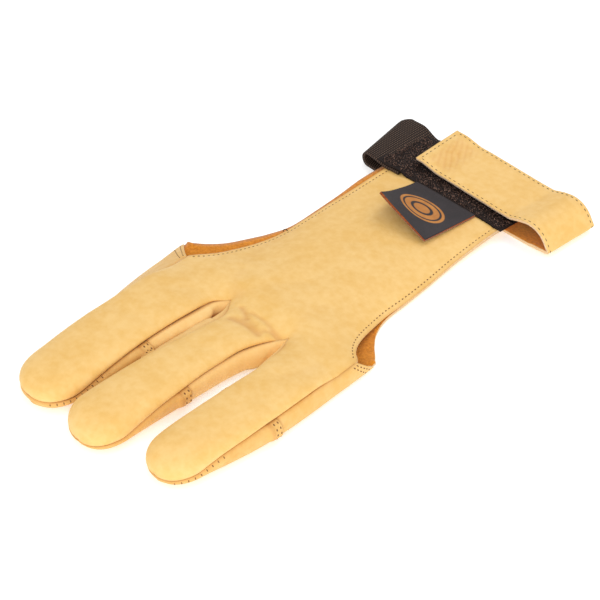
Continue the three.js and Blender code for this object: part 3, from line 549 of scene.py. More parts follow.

# The topstitched sides of the palm: pressed flat along the stitches, 2 mm inside the cut edge, and a little
# darker along the edge, mixed towards the groove colour.
STITCH_INSET = 2.0
loose = (1 - sewn)[:, None]
for distance in (edge_near, edge_far):
    upper_points[palm_index, 2] -= 0.28 * bell(distance - STITCH_INSET, 0.55) * loose
    seam[palm_index] = np.maximum(seam[palm_index], 0.3 * bell(distance, 0.7) * loose)
put("upper_panel_leather", upper_points, faces, LEATHER, "leather", ["upper_panel"], PANEL_WALL, seam=seam)


# Lower panel. The same leather with its grain side down, cut wider than the upper one so that it cups the
# thumb and the small finger. Its orange suede side shows in the side openings. It ends where the tip caps
# begin.
HEM = 3.6
LAPS = [(33.6, 34.6), (45.6, 42.0), (41.0, 44.6)]  # where each side of a finger's cap laps over its gusset
FOOT_HEIGHT = 1.8
FOOT_ACROSS = 14
FOOT_ROWS = 41
SOLE_INSET = 0.9  # the panel ends this far inside the gussets that are sewn over it

# How far each gusset's foot stands outside its seam, and how far it swells between them, at lengths in front
# of the knuckles. high says where the swelling is greatest, as a share of the way down.
WALLS = {
    (0, -1): dict(at=(0, 15, 30, 46, 74), high=0.5,
                  foot=(1.2, 1.8, 1.3, 0.3, -1.5), swell=(0.7, 1.0, 1.0, 0.8, 0.4)),
    (0, 1): dict(at=(0, 10, 30, 46, 74), high=0.4,
                 foot=(0, 2.0, 1.2, 0.2, -1.6), swell=(0, 1.6, 1.4, 1.0, 0.4)),
    (1, -1): dict(at=(0, 10, 28, 44, 84), high=0.45,
                  foot=(0, 2.2, 1.3, 0.0, -1.6), swell=(0, 0.9, 0.9, 0.8, 0.4)),
    (1, 1): dict(at=(0, 9, 26, 44, 84), high=0.27,
                 foot=(0, 3.4, 3.4, 2.0, -1.6), swell=(0, 4.0, 4.0, 2.4, 0.4)),
    (2, -1): dict(at=(0, 9, 26, 44, 84), high=0.42,
                  foot=(0, 1.6, 1.6, 0.9, -1.6), swell=(0, 3.0, 2.9, 2.0, 0.4)),
    (2, 1): dict(at=(0, 20, 40, 60, 84), high=0.5,
                 foot=(10.4, 8.4, 5.4, 1.6, -1.6), swell=(0.4, 0.6, 0.8, 0.8, 0.4)),
}


def foot_line(i, side, length):
    """Lower edge of a finger's side: its seam line moved outwards and down, and drawn to the lower panel's
    own points at the knuckles."""
    seam_line, out = finger_side(i, side, length)
    shape = WALLS[i, side]
    foot = seam_line + out * follow(length, shape["at"], shape["foot"])[:, None]
    foot[:, 2] = FOOT_HEIGHT - 0.7 * ease(tip_share(i, length))
    start, out_start = finger_side(i, side, np.zeros(2))
    first = start[0] + out_start[0] * shape["foot"][0]
    drawn = np.array(FEET[i + (side > 0)]) - np.array([first[0], first[1], FOOT_HEIGHT])
    return foot + drawn * (1 - ease(length / 19))[:, None]


foot_step = np.linspace(0, 1, FOOT_ACROSS + 1)


def finger_foot(i, left_length, right_length):
    """Underside of a finger, flat on the table between its two lower edges."""
    left, right = foot_line(i, -1, left_length), foot_line(i, 1, right_length)
    points = left[:, None] + (right - left)[:, None] * foot_step[:, None]
    points[..., 2] *= np.abs(2 * foot_step - 1) ** 4
    return points


left, right = palm_edge("lower_left", palm_t), palm_edge("lower_right", palm_t)
share = three_shares(FEET, foot_step)
sole = left[:, None] + (right - left)[:, None] * share[:, None]
knuckle = np.concatenate([finger_foot(k, np.zeros(2), np.zeros(2))[0, (k > 0):] for k in range(3)])
bend = (ease((palm_t - 0.8) / 0.2) ** 2)[:, None, None]
sole[..., :2] += (knuckle[None, :, :2] - sole[-1:, :, :2]) * bend
# At the wrist the whole panel lies on the strap and the elastic, and elsewhere only its edges are raised.
rest = np.minimum(sole[:, :1, 2], 1.5) * (1 - ease((sole[:, :1, 1] + 105) / 30))
sole[..., 2] = rest + (sole[..., 2] - rest) * np.abs(2 * share - 1) ** 10
sole[..., 2] += (knuckle[None, :, 2] - sole[..., 2]) * bend[..., 0]
inwards = past_corner(0.4)[:, None] * np.array([SOLE_INSET, -SOLE_INSET])
sole[:, [0, -1], 0] += inwards
sole[:, [0, -1], 2] -= np.abs(inwards)
sole[-1, FOOT_ACROSS:-1:FOOT_ACROSS, 1:] -= (1.6, SOLE_INSET)
sole_index = number(sole)
points, faces = [sole.reshape(-1, 3)], [grid_faces(sole_index)[:, ::-1]]
count = sole_index.size
for i in range(3):
    underside = finger_foot(i, *[np.linspace(0, lap - HEM - 0.2, FOOT_ROWS + 1) for lap in LAPS[i]])
    underside[:, [0, -1], 0] += SOLE_INSET * np.array([1.0, -1.0])
    underside[:, [0, -1], 2] -= SOLE_INSET
    index = count + number(underside[1:])
    index = np.concatenate([sole_index[-1:, i * FOOT_ACROSS:(i + 1) * FOOT_ACROSS + 1], index])
    points.append(underside[1:].reshape(-1, 3))
    faces.append(grid_faces(index)[:, ::-1])
    count += FOOT_ROWS * (FOOT_ACROSS + 1)
put("lower_panel_leather", np.concatenate(points), np.concatenate(faces), LEATHER, "leather",
    ["lower_panel"], PANEL_WALL, seam=np.zeros(count))


# Gussets. Four strips of the same leather make the fingers' sides. They are sewn into the seams on top and
# below, and swell out between them. The outer two start with a hemmed end at the side openings.
GUSSET_WALL = 0.9
OUTER_SIDES = ((0, -1), (2, 1))
down = np.linspace(0, 1, 13) ** 1.15  # shares of the way from the seam to the foot
outer_walls = {}
# The gussets between the fingers take a lighter copy of the grain leather: painted light, since the lamps
# light the crotches less than the tops.
INNER_LEATHER_PAINTED_LIGHTER = [grain_leather("thin grain leather between the fingers", "#f8d08a", "#f2c67b", "#b96d26"),
                 SUEDE, CUT_EDGE]


def wall_points(i, side, length, seam_line=None, foot=None, out=None):
    """Side of a finger between its seam line and its lower edge. It swells outwards in an arch that is
    highest at the wall's own share of the way down, and sinks into the seam's groove."""
    shape = WALLS[i, side]
    if seam_line is None:
        seam_line, out = finger_side(i, side, length)
        foot = foot_line(i, side, length)
    arch = np.sin(np.pi * down ** (np.log(0.5) / np.log(shape["high"])))
    swell = follow(length, shape["at"], shape["swell"])
    points = seam_line[:, None] + (foot - seam_line)[:, None] * down[:, None]
    points = points + out[:, None] * (swell[:, None] * arch)[..., None]
    distance = row_distance(points)
    return points - out[:, None] * groove(distance)[..., None], distance, out


for i, side, name in ((0, -1, "left_gusset"), (0, 1, None), (1, -1, "left_middle_gusset"), (1, 1, None),
                      (2, -1, "middle_right_gusset"), (2, 1, "right_gusset")):
    lap = LAPS[i][side > 0]
    length = np.concatenate([NEAR_KNUCKLE, np.linspace(0.85, lap + 0.6, 50)])
    body, distance, _ = wall_points(i, side, length)
    body[..., 2] += 0.3 * uneven(body, LEATHER_DENTS)
    outer = (i, side) in OUTER_SIDES
    if outer:
        # The stretch between the opening's corner and the knuckles follows the two panels' own edges.
        t = np.linspace(CORNER / LAST, 1, 12)[:-1]
        word = "left" if side < 0 else "right"
        edge, foot = palm_edge("upper_" + word, t), palm_edge("lower_" + word, t)
        outward = np.tile([side, 0.0, 0.0], (len(t), 1))
        hem, hem_distance, _ = wall_points(i, side, np.zeros(len(t)), edge, foot, outward)
        body, distance = np.concatenate([hem, body]), np.concatenate([hem_distance, distance])
        outer_walls[side] = body
    # The outer gussets get a little painted shade, darker than the rest, as the side light leaves them pale.
    tint = shade(distance) + (0.12 if outer else 0.0)
    if (i, side) in ((1, 1), (2, -1)):
        # These two sides press together. The slit between them gets painted shade: dark at its foot, with the
        # far wall warmer and darker.
        tint = tint + 0.8 * ease((down - 0.45) / 0.25) + (0.28 if i == 1 else 0.0) * np.sin(np.pi * down)
    # Painted shadow on the gusset just behind the step where the cap's hem begins.
    tint[-len(length):] += 0.5 * bell(length - lap + HEM, 0.6)[:, None]
    if name is None:
        first_half = body, tint
        continue
    if not outer:
        # The strip between two fingers turns round the web, so both its halves are one grid.
        body = np.concatenate([first_half[0][:0:-1], body])
        tint = np.concatenate([first_half[1][:0:-1], tint])
    faces = grid_faces(number(body))
    put(name + "_leather", body, faces if side > 0 else faces[:, ::-1], LEATHER if outer else INNER_LEATHER_PAINTED_LIGHTER,
        "leather", [name], GUSSET_WALL, seam=tint)


# Tip caps. A moulded trough of slightly firmer leather closes the underside, the sides and the front of each
# fingertip, where the bowstring is drawn. Its sides are hemmed and lie over the ends of the gussets.
CAP_RISE = 1.3
CAP_WALL = 0.95
CAP_LEATHER = [grain_leather("firm cap leather", "#e9bb70", "#dfac5e", "#b06422"), SUEDE, CUT_EDGE]


def cap_side(i, side, share):
    """One side of a cap, at shares up to 1 where the tip starts to round and from 1 to 2 round it. It starts
    one hem before the gusset's end, stands proud of it there, and comes down to the finger's own side."""
    lap = LAPS[i][side > 0]
    bend, end = FINGERS[i]["at"][-1], FINGERS[i]["tip"][1]
    straight = lap - HEM + (bend - lap + HEM) * share
    length = np.where(share <= 1, straight, bend + (end - bend) * np.sin((share - 1) * np.pi / 2))
    body, distance, out = wall_points(i, side, length)
    proud = CAP_RISE * (1 - ease((length - lap - 0.4) / 2.2))
    proud = proud * np.sqrt(ease((length - lap + HEM) / 0.5 + 0.25))
    proud = proud[:, None] * ease(down / 0.16) * (1 - ease((down - 0.85) / 0.15))
    # Painted shade along the seams and along the fold over the gusset's end.
    tint = shade(distance) + 0.3 * bell(length - lap - 0.5, 0.7)[:, None]
    return body + out[:, None] * proud[..., None], length, tint


hem_rows, side_rows = np.linspace(0, 0.12, 12)[:-1], np.linspace(0.12, 1, 40)[:-1]
cap_share = np.concatenate([hem_rows, side_rows, 1 + np.linspace(0, 1, 22)])
cap_sides = {}
for i, finger in enumerate(FINGERS):
    left, left_length, left_tint = cap_side(i, -1, cap_share)
    right, right_length, right_tint = cap_side(i, 1, cap_share)
    cap_sides[i, -1], cap_sides[i, 1] = (left, left_length), (right, right_length)
    bottom = finger_foot(i, left_length, right_length)[:, 1:-1]
    body = np.concatenate([left, bottom, right[:, ::-1]], axis=1)
    tint = np.concatenate([left_tint, np.zeros(bottom.shape[:2]), right_tint[:, ::-1]], 1)
    # At the very tip both sides are one line of points, and the bottom shrinks to its last one.
    wall = len(down)
    body[-1] = np.concatenate([left[-1], np.repeat(left[-1, -1:], bottom.shape[1], 0), left[-1, ::-1]])
    index = number(body)
    index[-1, -wall:] = index[-1, :wall][::-1]
    index[-1, wall:-wall] = index[-1, wall - 1]
    body[..., 2] += 0.3 * uneven(body, LEATHER_DENTS) * (body[..., 2] > 0.6)
    put(finger["name"] + "_tip_cap_leather", body, grid_faces(index)[:, ::-1], CAP_LEATHER, "leather",
        [finger["name"] + "_tip_cap"], CAP_WALL, seam=tint)


# Elastic. A band of black woven elastic, 29 mm wide, is sewn on top of the panel's right side, runs out round
# the edge of the wrist and comes back under the lower panel. Its folded edge lies higher at the far side.
ELASTIC_WIDTH = 29.0
ELASTIC_WALL = 1.1
ELASTIC_Y = -102.5
ELASTIC_END, ELASTIC_FOOT_END = 28.0, 16.0
FOLD_X = (48.6, 55.0)  # at the edge near the fingers and at the far edge
FOLD_RISE = (6.8, 8.0)
CORNER_CUT = 2.4  # how far the far edge's corner is rounded off
PANEL_EDGE = 34.0  # x where the upper panel stops carrying what lies on it
PATCH_RIGHT = 40.0
LAY_GAP = 0.3  # room between two layers


def woven(name, dark, light, pitch, glint):
    """Woven black yarn: ribs and picks of the given pitch in millimetres, with painted highlights on their
    backs and painted glints on single fibres here and there. The weave follows the cloth by its UV map."""
    material, tree, shader = new_material(name, rough=0.68, specular=0.22)
    place = node(tree, "UVMap", {"uv_map": "cut"}).outputs["UV"]
    rib = node(tree, "TexWave", {"bands_direction": "Y"}, Vector=place, Scale=1000 / pitch / 3.2,
               Distortion=0.4)
    pick = node(tree, "TexWave", {"bands_direction": "X"}, Vector=place, Scale=1000 / pitch / 3.6,
                Distortion=0.4)
    weave = node(tree, "Math", {"operation": "MULTIPLY"}, i0=rib.outputs["Fac"], i1=pick.outputs["Fac"])
    fibre = node(tree, "TexNoise", Vector=place, Scale=1000 / (0.6 * pitch), Detail=3.0, Roughness=0.8)
    both = node(tree, "Math", {"operation": "MULTIPLY"}, i0=weave.outputs[0], i1=fibre.outputs["Fac"])
    tone = node(tree, "MapRange", Value=both.outputs[0], From_Min=0.08, From_Max=glint)
    colour = node(tree, "Mix", RGBA, Factor=tone.outputs[0], i6=linear(dark), i7=linear(light))
    tree.links.new(colour.outputs[2], shader.inputs["Base Color"])
    relief = node(tree, "Bump", Strength=0.7, Distance=0.0003, Height=both.outputs[0])
    tree.links.new(relief.outputs[0], shader.inputs["Normal"])
    return material


def on_palm(x, y):
    """Height of the upper panel's face at x and y, read between the rows and columns of its own grid."""
    grid = upper_points[palm_index]
    middle = grid[:, 50, 1]
    row = np.clip(np.interp(y, middle, np.arange(len(grid))), 0, len(grid) - 1.001)
    low = row.astype(int)
    part = row - low
    left = grid[low, 0, 0] + (grid[low + 1, 0, 0] - grid[low, 0, 0]) * part
    right = grid[low, -1, 0] + (grid[low + 1, -1, 0] - grid[low, -1, 0]) * part
    column = np.interp((x - left) / (right - left), palm_share, np.arange(len(palm_share)))
    column = np.clip(column, 0, len(palm_share) - 1.001)
    side = column.astype(int)
    across = column - side
    near = grid[low, side, 2] * (1 - across) + grid[low, side + 1, 2] * across
    far = grid[low + 1, side, 2] * (1 - across) + grid[low + 1, side + 1, 2] * across
    return near * (1 - part) + far * part


band_share = np.linspace(0, 1, 44)[:, None]
corner_cut = CORNER_CUT * np.clip((band_share - 0.84) / 0.16, 0, 1) ** 2.6
fold = FOLD_X[0] + (FOLD_X[1] - FOLD_X[0]) * band_share - corner_cut
rise = FOLD_RISE[0] + (FOLD_RISE[1] - FOLD_RISE[0]) * band_share
centre = fold - rise / 2
band_y = ELASTIC_Y - ELASTIC_WIDTH * band_share
run = np.linspace(0, 1, 50)
top_x = ELASTIC_END + (centre - ELASTIC_END) * run
band_y = np.broadcast_to(band_y, top_x.shape)
panel_top = on_palm(np.minimum(top_x, PANEL_EDGE), band_y) + LAY_GAP + ELASTIC_WALL
lift = ease((top_x - PANEL_EDGE) / (centre - PANEL_EDGE))
top_z = panel_top + (rise - panel_top) * lift + 1.3 * band_share * np.sin(np.pi * lift)
angle = np.radians(np.linspace(90, -90, 26))[1:-1]
round_x = centre + np.cos(angle) * rise / 2
round_z = rise / 2 + np.sin(angle) * rise / 2
foot_x = centre + (ELASTIC_FOOT_END - centre) * run
band_x = np.concatenate([top_x, round_x, foot_x], 1)
band_z = np.concatenate([top_z, round_z, np.zeros(foot_x.shape)], 1)
band = np.stack([band_x, np.broadcast_to(band_y[:, :1], band_x.shape), band_z], -1)
ELASTIC = woven("woven black elastic", "#1a100b", "#7d6352", 0.9, 0.6)
band_run = row_distance(band)
elastic = put("elastic_band_woven", band, grid_faces(number(band))[:, ::-1], [ELASTIC], "elastic",
              ["elastic_band"], ELASTIC_WALL, chart=np.stack([band_run, band[..., 1]], -1) / 1000)


# Loop patch. The soft half of the hook and loop fastening: black nylon ground with a field of small loops. It
# is sewn over the upper panel and the elastic's end, 26.5 mm wide, and sinks a little under its seam.
PATCH_WIDTH = 26.5
PATCH_WALL = 0.6
PATCH_Y = -104.3
PATCH_SLOPE = 0.05
LOOP_RADIUS, YARN_RADIUS = 0.5, 0.085
LOOPS = 2900
STRAP_COVER = (26.0, -112.5)  # the strap hides the patch left of this x and behind this y, so no loops there


def patch_edge(x):
    """y of the patch's near edge at x."""
    return PATCH_Y + PATCH_SLOPE * (x - (PATCH_LEFT + PATCH_RIGHT) / 2)


def on_patch(x, y):
    """Height of the patch's ground: it lies on the upper panel and climbs over the end of the elastic."""
    panel = on_palm(np.minimum(x, PANEL_EDGE), y)
    climb = ease((x - ELASTIC_END + 4) / 4.5)
    return panel + (ELASTIC_WALL + LAY_GAP) * climb + 0.75 + 0.3 * ease((x - PANEL_EDGE) / 8)


across_patch, along_patch = np.meshgrid(np.linspace(PATCH_LEFT, PATCH_RIGHT, 90), np.linspace(0, 1, 36))
patch_y = patch_edge(across_patch) - PATCH_WIDTH * along_patch
edge_gap = np.minimum.reduce([across_patch - PATCH_LEFT, PATCH_RIGHT - across_patch,
                              along_patch * PATCH_WIDTH, (1 - along_patch) * PATCH_WIDTH])
patch_z = on_patch(across_patch, patch_y)
patch_z = patch_z + uneven(np.stack([across_patch, patch_y, patch_y], -1), [(1.4, 0.12, 11)])
patch = np.stack([across_patch, patch_y, patch_z - 0.25 * bell(edge_gap - 1.5, 0.5)], -1)
GROUND = woven("black nylon ground of the loop patch", "#150b08", "#45302a", 0.7, 0.7)
loop_ground = put("loop_patch_ground", patch, grid_faces(number(patch))[:, ::-1], [GROUND], "pile",
                  ["loop_patch"], PATCH_WALL, chart=patch[..., :2] / 1000)


def tubes(base, forward, up, radius, yarn, bends=6, sides=3):
    """Small arches of yarn: each is half a circle of its own radius, standing on its base, with a round
    section."""
    turn = np.linspace(-0.2, np.pi + 0.2, bends)[None, :, None, None]
    section = (np.arange(sides) / sides * 2 * np.pi)[None, None, :, None]
    forward, up, base = forward[:, None, None], up[:, None, None], base[:, None, None]
    flank = np.cross(forward, up)
    spoke = np.cos(turn) * forward + np.sin(turn) * up
    points = base + spoke * (radius[:, None, None, None] + yarn * np.cos(section))
    points = points + flank * yarn * np.sin(section)
    index = np.arange(points[..., 0].size).reshape(points.shape[:3])
    beside = np.roll(index, -1, 2)
    quads = np.stack([index[:, :-1], beside[:, :-1], beside[:, 1:], index[:, 1:]], -1)
    return points.reshape(-1, 3), quads.reshape(-1, 4)


def unit(vectors):
    """The vectors, each divided by its own length."""
    return vectors / np.linalg.norm(vectors, axis=-1, keepdims=True)


def square_to(vectors, axis):
    """Unit vectors square to the axis: each loses its part along the axis."""
    return unit(vectors - axis * (vectors * axis).sum(-1, keepdims=True))


chance = np.random.default_rng(21)
loop_x = chance.uniform(PATCH_LEFT + 0.8, PATCH_RIGHT - 0.8, LOOPS)
loop_y = patch_edge(loop_x) - chance.uniform(0.7, PATCH_WIDTH - 0.7, LOOPS)
shown = (loop_x >= STRAP_COVER[0]) | (loop_y >= STRAP_COVER[1])
loop_x, loop_y = loop_x[shown], loop_y[shown]
loop_base = np.stack([loop_x, loop_y, on_patch(loop_x, loop_y) - 0.05], -1)
heading = chance.uniform(0, 2 * np.pi, len(loop_x))
lean = chance.normal(0, 0.45, (2, len(loop_x)))
loop_up = unit(np.stack([lean[0], lean[1], np.ones(len(loop_x))], -1))
loop_forward = square_to(np.stack([np.cos(heading), np.sin(heading), np.zeros(len(heading))], -1), loop_up)
loop_radius = LOOP_RADIUS * chance.uniform(0.6, 1.15, len(loop_x))
loops = tubes(loop_base, loop_forward, loop_up, loop_radius, YARN_RADIUS)


def yarn_material(name, dark, light, size, low, high, detail, rough, specular):
    """Plain yarn: two colours in noise of the given size in millimetres, between the values low and high."""
    material, tree, shader = new_material(name, rough, specular)
    place = node(tree, "TexCoord").outputs["Object"]
    noise = node(tree, "TexNoise", Vector=place, Scale=1000 / size, Detail=detail).outputs["Fac"]
    tone = node(tree, "MapRange", Value=noise, From_Min=low, From_Max=high)
    colour = node(tree, "Mix", RGBA, Factor=tone.outputs[0], i6=linear(dark), i7=linear(light))
    tree.links.new(colour.outputs[2], shader.inputs["Base Color"])
    return material


# Glossy nylon. The single bright loops are painted glints: a pale colour mixed in by noise.
NYLON_WITH_PAINTED_GLINTS = yarn_material("glossy black nylon loops", "#1b0d09", "#ad8674", 0.6, 0.45, 0.75, 1.0, 0.4, 0.35)
put("loop_patch_loops", *loops, [NYLON_WITH_PAINTED_GLINTS], "pile")


# Closure strap. A doubled strip of the glove's leather, 26 mm wide, runs from under the lower panel round the
# left side of the wrist in an open fold, and back over the loop patch to its free end. It is topstitched all
# round.
STRAP_WIDTH = 26.0
STRAP_WALL = 1.25
STRAP_Y = -111.3
STRAP_END, STRAP_SKEW = 27.0, 2.6
STRAP_FOLD, STRAP_RISE, STRAP_FLOAT = -44.6, 10.9, 1.1
STRAP_FOOT_END = -8.0
STRAP_INSET = 1.4
STRAP_ROWS = 46
STRAP_DENTS = [(9, 0.13, 17), (3.5, 0.05, 19)]  # size, height and seed
strap_top = float(on_patch(np.array([0.0]), np.array([-118.0]))[0]) + 2.75
FOLD_SHAPE = np.array([
    (21, strap_top),
    (15, strap_top + (STRAP_RISE - strap_top) * 0.75),
    (11, STRAP_RISE),
    (7, STRAP_RISE * 0.93),
    (3.4, STRAP_RISE * 0.7),
    (1, STRAP_RISE * 0.4),
    (0, STRAP_RISE * 0.25),
    (0.9, STRAP_FLOAT + 0.35),
    (3, STRAP_FLOAT),
    (13, STRAP_FLOAT * 0.35),
    (22, 0),
])


def smooth_path(points, count):
    """A cubic curve through the points, spaced by the length of the chords between them to the power 0.6."""
    at = np.concatenate([[0], np.cumsum(np.linalg.norm(np.diff(points, axis=0), axis=1) ** 0.6)])
    return follow(np.linspace(0, at[-1], count), at, points)


def over_patch(x):
    """Height of the strap's top stretch: nearly level, higher over the elastic."""
    return strap_top + 1.5 * ease((x - 15) / 10) + 0.15 * np.sin(x / 9)


def spread(values):
    """The same row of values for every row of the strap."""
    return np.broadcast_to(values, (STRAP_ROWS, len(values)))


fold_path = smooth_path(FOLD_SHAPE + [STRAP_FOLD, 0], 90)
fold_path[:, 1] = np.maximum(fold_path[:, 1], 0)
strap_share = np.linspace(0, 1, STRAP_ROWS)[:, None]
strap_end = STRAP_END + STRAP_SKEW * strap_share
top_x = strap_end + (fold_path[0, 0] - strap_end) * np.linspace(0, 1, 120)[:-1]
foot_x = np.linspace(fold_path[-1, 0], STRAP_FOOT_END, 14)[1:]
strap_x = np.concatenate([top_x, spread(fold_path[:, 0]), spread(foot_x)], 1)
strap_z = np.concatenate([over_patch(top_x), spread(fold_path[:, 1]), spread(0 * foot_x)], 1)
strap_y = np.broadcast_to(STRAP_Y - STRAP_WIDTH * strap_share, strap_x.shape)
strap = np.stack([strap_x, strap_y, strap_z], -1)


def grid_normals(grid):
    """Unit normals of a grid, from the cross product of its two directions."""
    return unit(np.cross(np.gradient(grid, axis=1), np.gradient(grid, axis=0)))


# Fine slanting wrinkles near the free end, dents all over, the line of stitches pulled in, and soft edges.
strap_run = row_distance(strap)
strap_edge = np.minimum(np.minimum(strap_share, 1 - strap_share) * STRAP_WIDTH, strap_run)
wrinkle = np.sin(2 * np.pi * (strap_x * 0.42 + strap_y * 0.28) / 1.15 + uneven(strap, [(5, 1.8, 13)]))
wrinkled = ease((strap_run - 2) / 4) * (1 - ease((strap_run - 11) / 8)) * ease((strap_edge - 2) / 3)
relief = 0.1 * wrinkle * wrinkled + uneven(strap, STRAP_DENTS)
relief = relief - 0.22 * bell(strap_edge - STRAP_INSET, 0.55) - 0.16 * bell(strap_edge, 0.45)
strap = strap + grid_normals(strap) * (relief * (strap_z > 0.6))[..., None]
strap[..., 2] = np.maximum(strap[..., 2], 0)
# Near the free end the strap is mixed a little towards the groove colour, and the troughs of its wrinkles get
# painted shade.
strap_piece = put("closure_strap_leather", strap, grid_faces(number(strap)), LEATHER, "leather",
                  ["closure_strap"], STRAP_WALL, seam=(0.13 + 0.16 * np.clip(-wrinkle, 0, 1)) * wrinkled)


# Hook patch. The stiff half of the fastening, sewn to the inner face of the strap. It shows as a black line
# under the strap's near edge and behind the fold.
HOOK_INSET, HOOK_WIDTH, HOOK_END = 3.0, 22.0, -33.0
HOOK_WALL = 0.75
hook_x, hook_share = np.meshgrid(np.linspace(STRAP_END - HOOK_INSET, HOOK_END, 90), np.linspace(0, 1, 12))
over_fold = np.interp(-hook_x, -fold_path[:30, 0], fold_path[:30, 1])
hook_z = np.where(hook_x > fold_path[0, 0], over_patch(hook_x), over_fold) - STRAP_WALL - 0.35
hook_y = STRAP_Y - (STRAP_WIDTH - HOOK_WIDTH) / 2 - HOOK_WIDTH * hook_share
hook = np.stack([hook_x, hook_y, hook_z], -1)
HOOKS = woven("black nylon hooks", "#0b090a", "#2c2728", 0.6, 0.7)
hook_piece = put("hook_patch_nylon", hook, grid_faces(number(hook)), [HOOKS], "hook", ["hook_patch"],
                 HOOK_WALL, chart=hook[..., :2] / 1000)


# Tag. Firm dark leather, 1 mm thick, is sewn in along the loop patch. Its free corners stand off the palm,
# the right one far more, and its cut edge is burnt orange brown. A plain ringed oval is burnt into its face.
TAG_WIDTH, TAG_LENGTH, TAG_WALL = 30.5, 27.5, 1.0
TAG_LEFT = -12.0
TAG_CURL = (1.0, 8.6)
TAG_TWIST = 5.0
OVAL_WIDTH, OVAL_HEIGHT = 22.0, 14.0
# Where the rings of the oval end, as shares of its width from the centre, and whether the dye is left there.
RING_STOPS = [(0.0, 0), (0.17, 0), (0.19, 1), (0.24, 1), (0.26, 0), (0.38, 0), (0.395, 1), (0.425, 1),
              (0.44, 0), (0.487, 0), (0.503, 1)]
tag_u, tag_v = np.meshgrid(np.linspace(0, 1, 60), np.linspace(0, 1, 56))
stand = (TAG_CURL[0] + (TAG_CURL[1] - TAG_CURL[0]) * tag_u) * tag_v ** 1.5
tag_x = TAG_LEFT + TAG_WIDTH * tag_u - TAG_TWIST * tag_u * tag_v ** 1.5
tag_y = patch_edge(tag_x) + 0.4 + TAG_LENGTH * tag_v - stand ** 2 / TAG_LENGTH
tag_z = on_palm(tag_x, tag_y) + 0.3 + TAG_WALL + stand
tag = np.stack([tag_x, tag_y, tag_z], -1)
tag[..., 2] += uneven(tag, [(7, 0.1, 23)])

# Vegetable-tanned leather, dyed almost black: smooth, slightly glossy and cooler than the palm. The burnt
# mark shows the tan leather under the dye, with two dark rings.
DYED, tree, shader = new_material("dyed vegetable-tanned leather", rough=0.5, specular=0.32)
chart = node(tree, "UVMap", {"uv_map": "cut"}).outputs["UV"]
stretch_x, stretch_y = TAG_WIDTH / OVAL_WIDTH, TAG_LENGTH / OVAL_HEIGHT
centred = node(tree, "Mapping", {"vector_type": "POINT"}, Vector=chart, Scale=(stretch_x, stretch_y, 0),
               Location=(-0.5 * stretch_x, -0.52 * stretch_y, 0))
reach = node(tree, "VectorMath", {"operation": "LENGTH"}, i0=centred.outputs[0]).outputs["Value"]
place = node(tree, "TexCoord").outputs["Object"]
cloud = node(tree, "TexNoise", Vector=place, Scale=1 / 0.005, Detail=5.0, Roughness=0.65).outputs["Fac"]
dye = node(tree, "Mix", RGBA, Factor=cloud, i6=linear("#0f090b"), i7=linear("#33282c"))
tan = node(tree, "Mix", RGBA, Factor=cloud, i6=linear("#8f4f1c"), i7=linear("#dc9440"))
rings = node(tree, "ValToRGB", Fac=reach)
for position, dyed in RING_STOPS[1:-1]:
    rings.color_ramp.elements.new(position)
for element, (position, dyed) in zip(sorted(rings.color_ramp.elements, key=lambda e: e.position), RING_STOPS):
    element.position = position
    element.color = (dyed, dyed, dyed, 1)
marked = node(tree, "Mix", RGBA, Factor=rings.outputs["Color"], i6=tan.outputs[2], i7=dye.outputs[2])
tree.links.new(marked.outputs[2], shader.inputs["Base Color"])
pore = node(tree, "TexVoronoi", Vector=place, Scale=1 / 0.0006).outputs["Distance"]
burnt = node(tree, "Bump", Strength=0.5, Distance=0.0002, Height=rings.outputs["Color"])
pored = node(tree, "Bump", Strength=0.15, Distance=0.0001, Height=pore, Normal=burnt.outputs[0])
tree.links.new(pored.outputs[0], shader.inputs["Normal"])
TAG_LEATHER = [DYED, fuzzy("flesh side of the tag", "#6e4a33", "#3a241b", 0.9),
               fuzzy("burnt cut edge of the tag", "#b8622a", "#5c2810", 0.6)]
tag_piece = put("tag_leather", tag, grid_faces(number(tag)), TAG_LEATHER, "tag_leather", ["tag"], TAG_WALL,
                chart=np.stack([tag_u, tag_v], -1))


# Stitches. Brown thread sews the palm's cut edges, the strap, the ends of the tip caps and the fingertips.
# Each stitch is a small lens of thread that dips into a needle hole at both ends.
PALM_PITCH, STRAP_PITCH, CAP_PITCH, HEM_PITCH, TIP_PITCH = 1.9, 2.5, 2.1, 1.7, 2.4
# Half the length, width and height of a stitch.
PALM_STITCH, STRAP_STITCH = (0.48, 0.25, 0.2), (0.66, 0.2, 0.16)
CAP_STITCH, HEM_STITCH, TIP_STITCH = (0.5, 0.3, 0.16), (0.5, 0.24, 0.16), (0.5, 0.2, 0.14)
THREAD = yarn_material("waxed brown thread", "#553012", "#95602e", 1.1, 0, 1, 2.0, 0.6, 0.5)
DARK_THREAD = yarn_material("waxed dark thread", "#2e2115", "#6d5133", 1.1, 0, 1, 2.0, 0.6, 0.5)


def beads(place, ahead, up, size, rings=4, sides=6):
    """Small closed lenses, one at each place. size gives the half axes ahead, across and upwards."""
    turn = np.linspace(0, np.pi, rings + 1)[None, :, None, None]
    section = (np.arange(sides) / sides * 2 * np.pi)[None, None, :, None]
    ahead, up, place = ahead[:, None, None], up[:, None, None], place[:, None, None]
    across = np.cross(ahead, up) * size[1] * np.cos(section) + up * size[2] * np.sin(section)
    points = place + ahead * size[0] * np.cos(turn) + np.sin(turn) * across
    index = np.arange(points[..., 0].size).reshape(points.shape[:3])
    index[:, 0] = index[:, 0, :1]
    index[:, -1] = index[:, -1, :1]
    beside = np.roll(index, -1, 2)
    quads = np.stack([index[:, :-1], index[:, 1:], beside[:, 1:], beside[:, :-1]], -1)
    return points.reshape(-1, 3), quads.reshape(-1, 4)


def read_line(where, at, line):
    """The line's points or directions at the places where, read between those that it has at the places
    at."""
    return np.stack([np.interp(where, at, line[:, k]) for k in range(3)], -1)


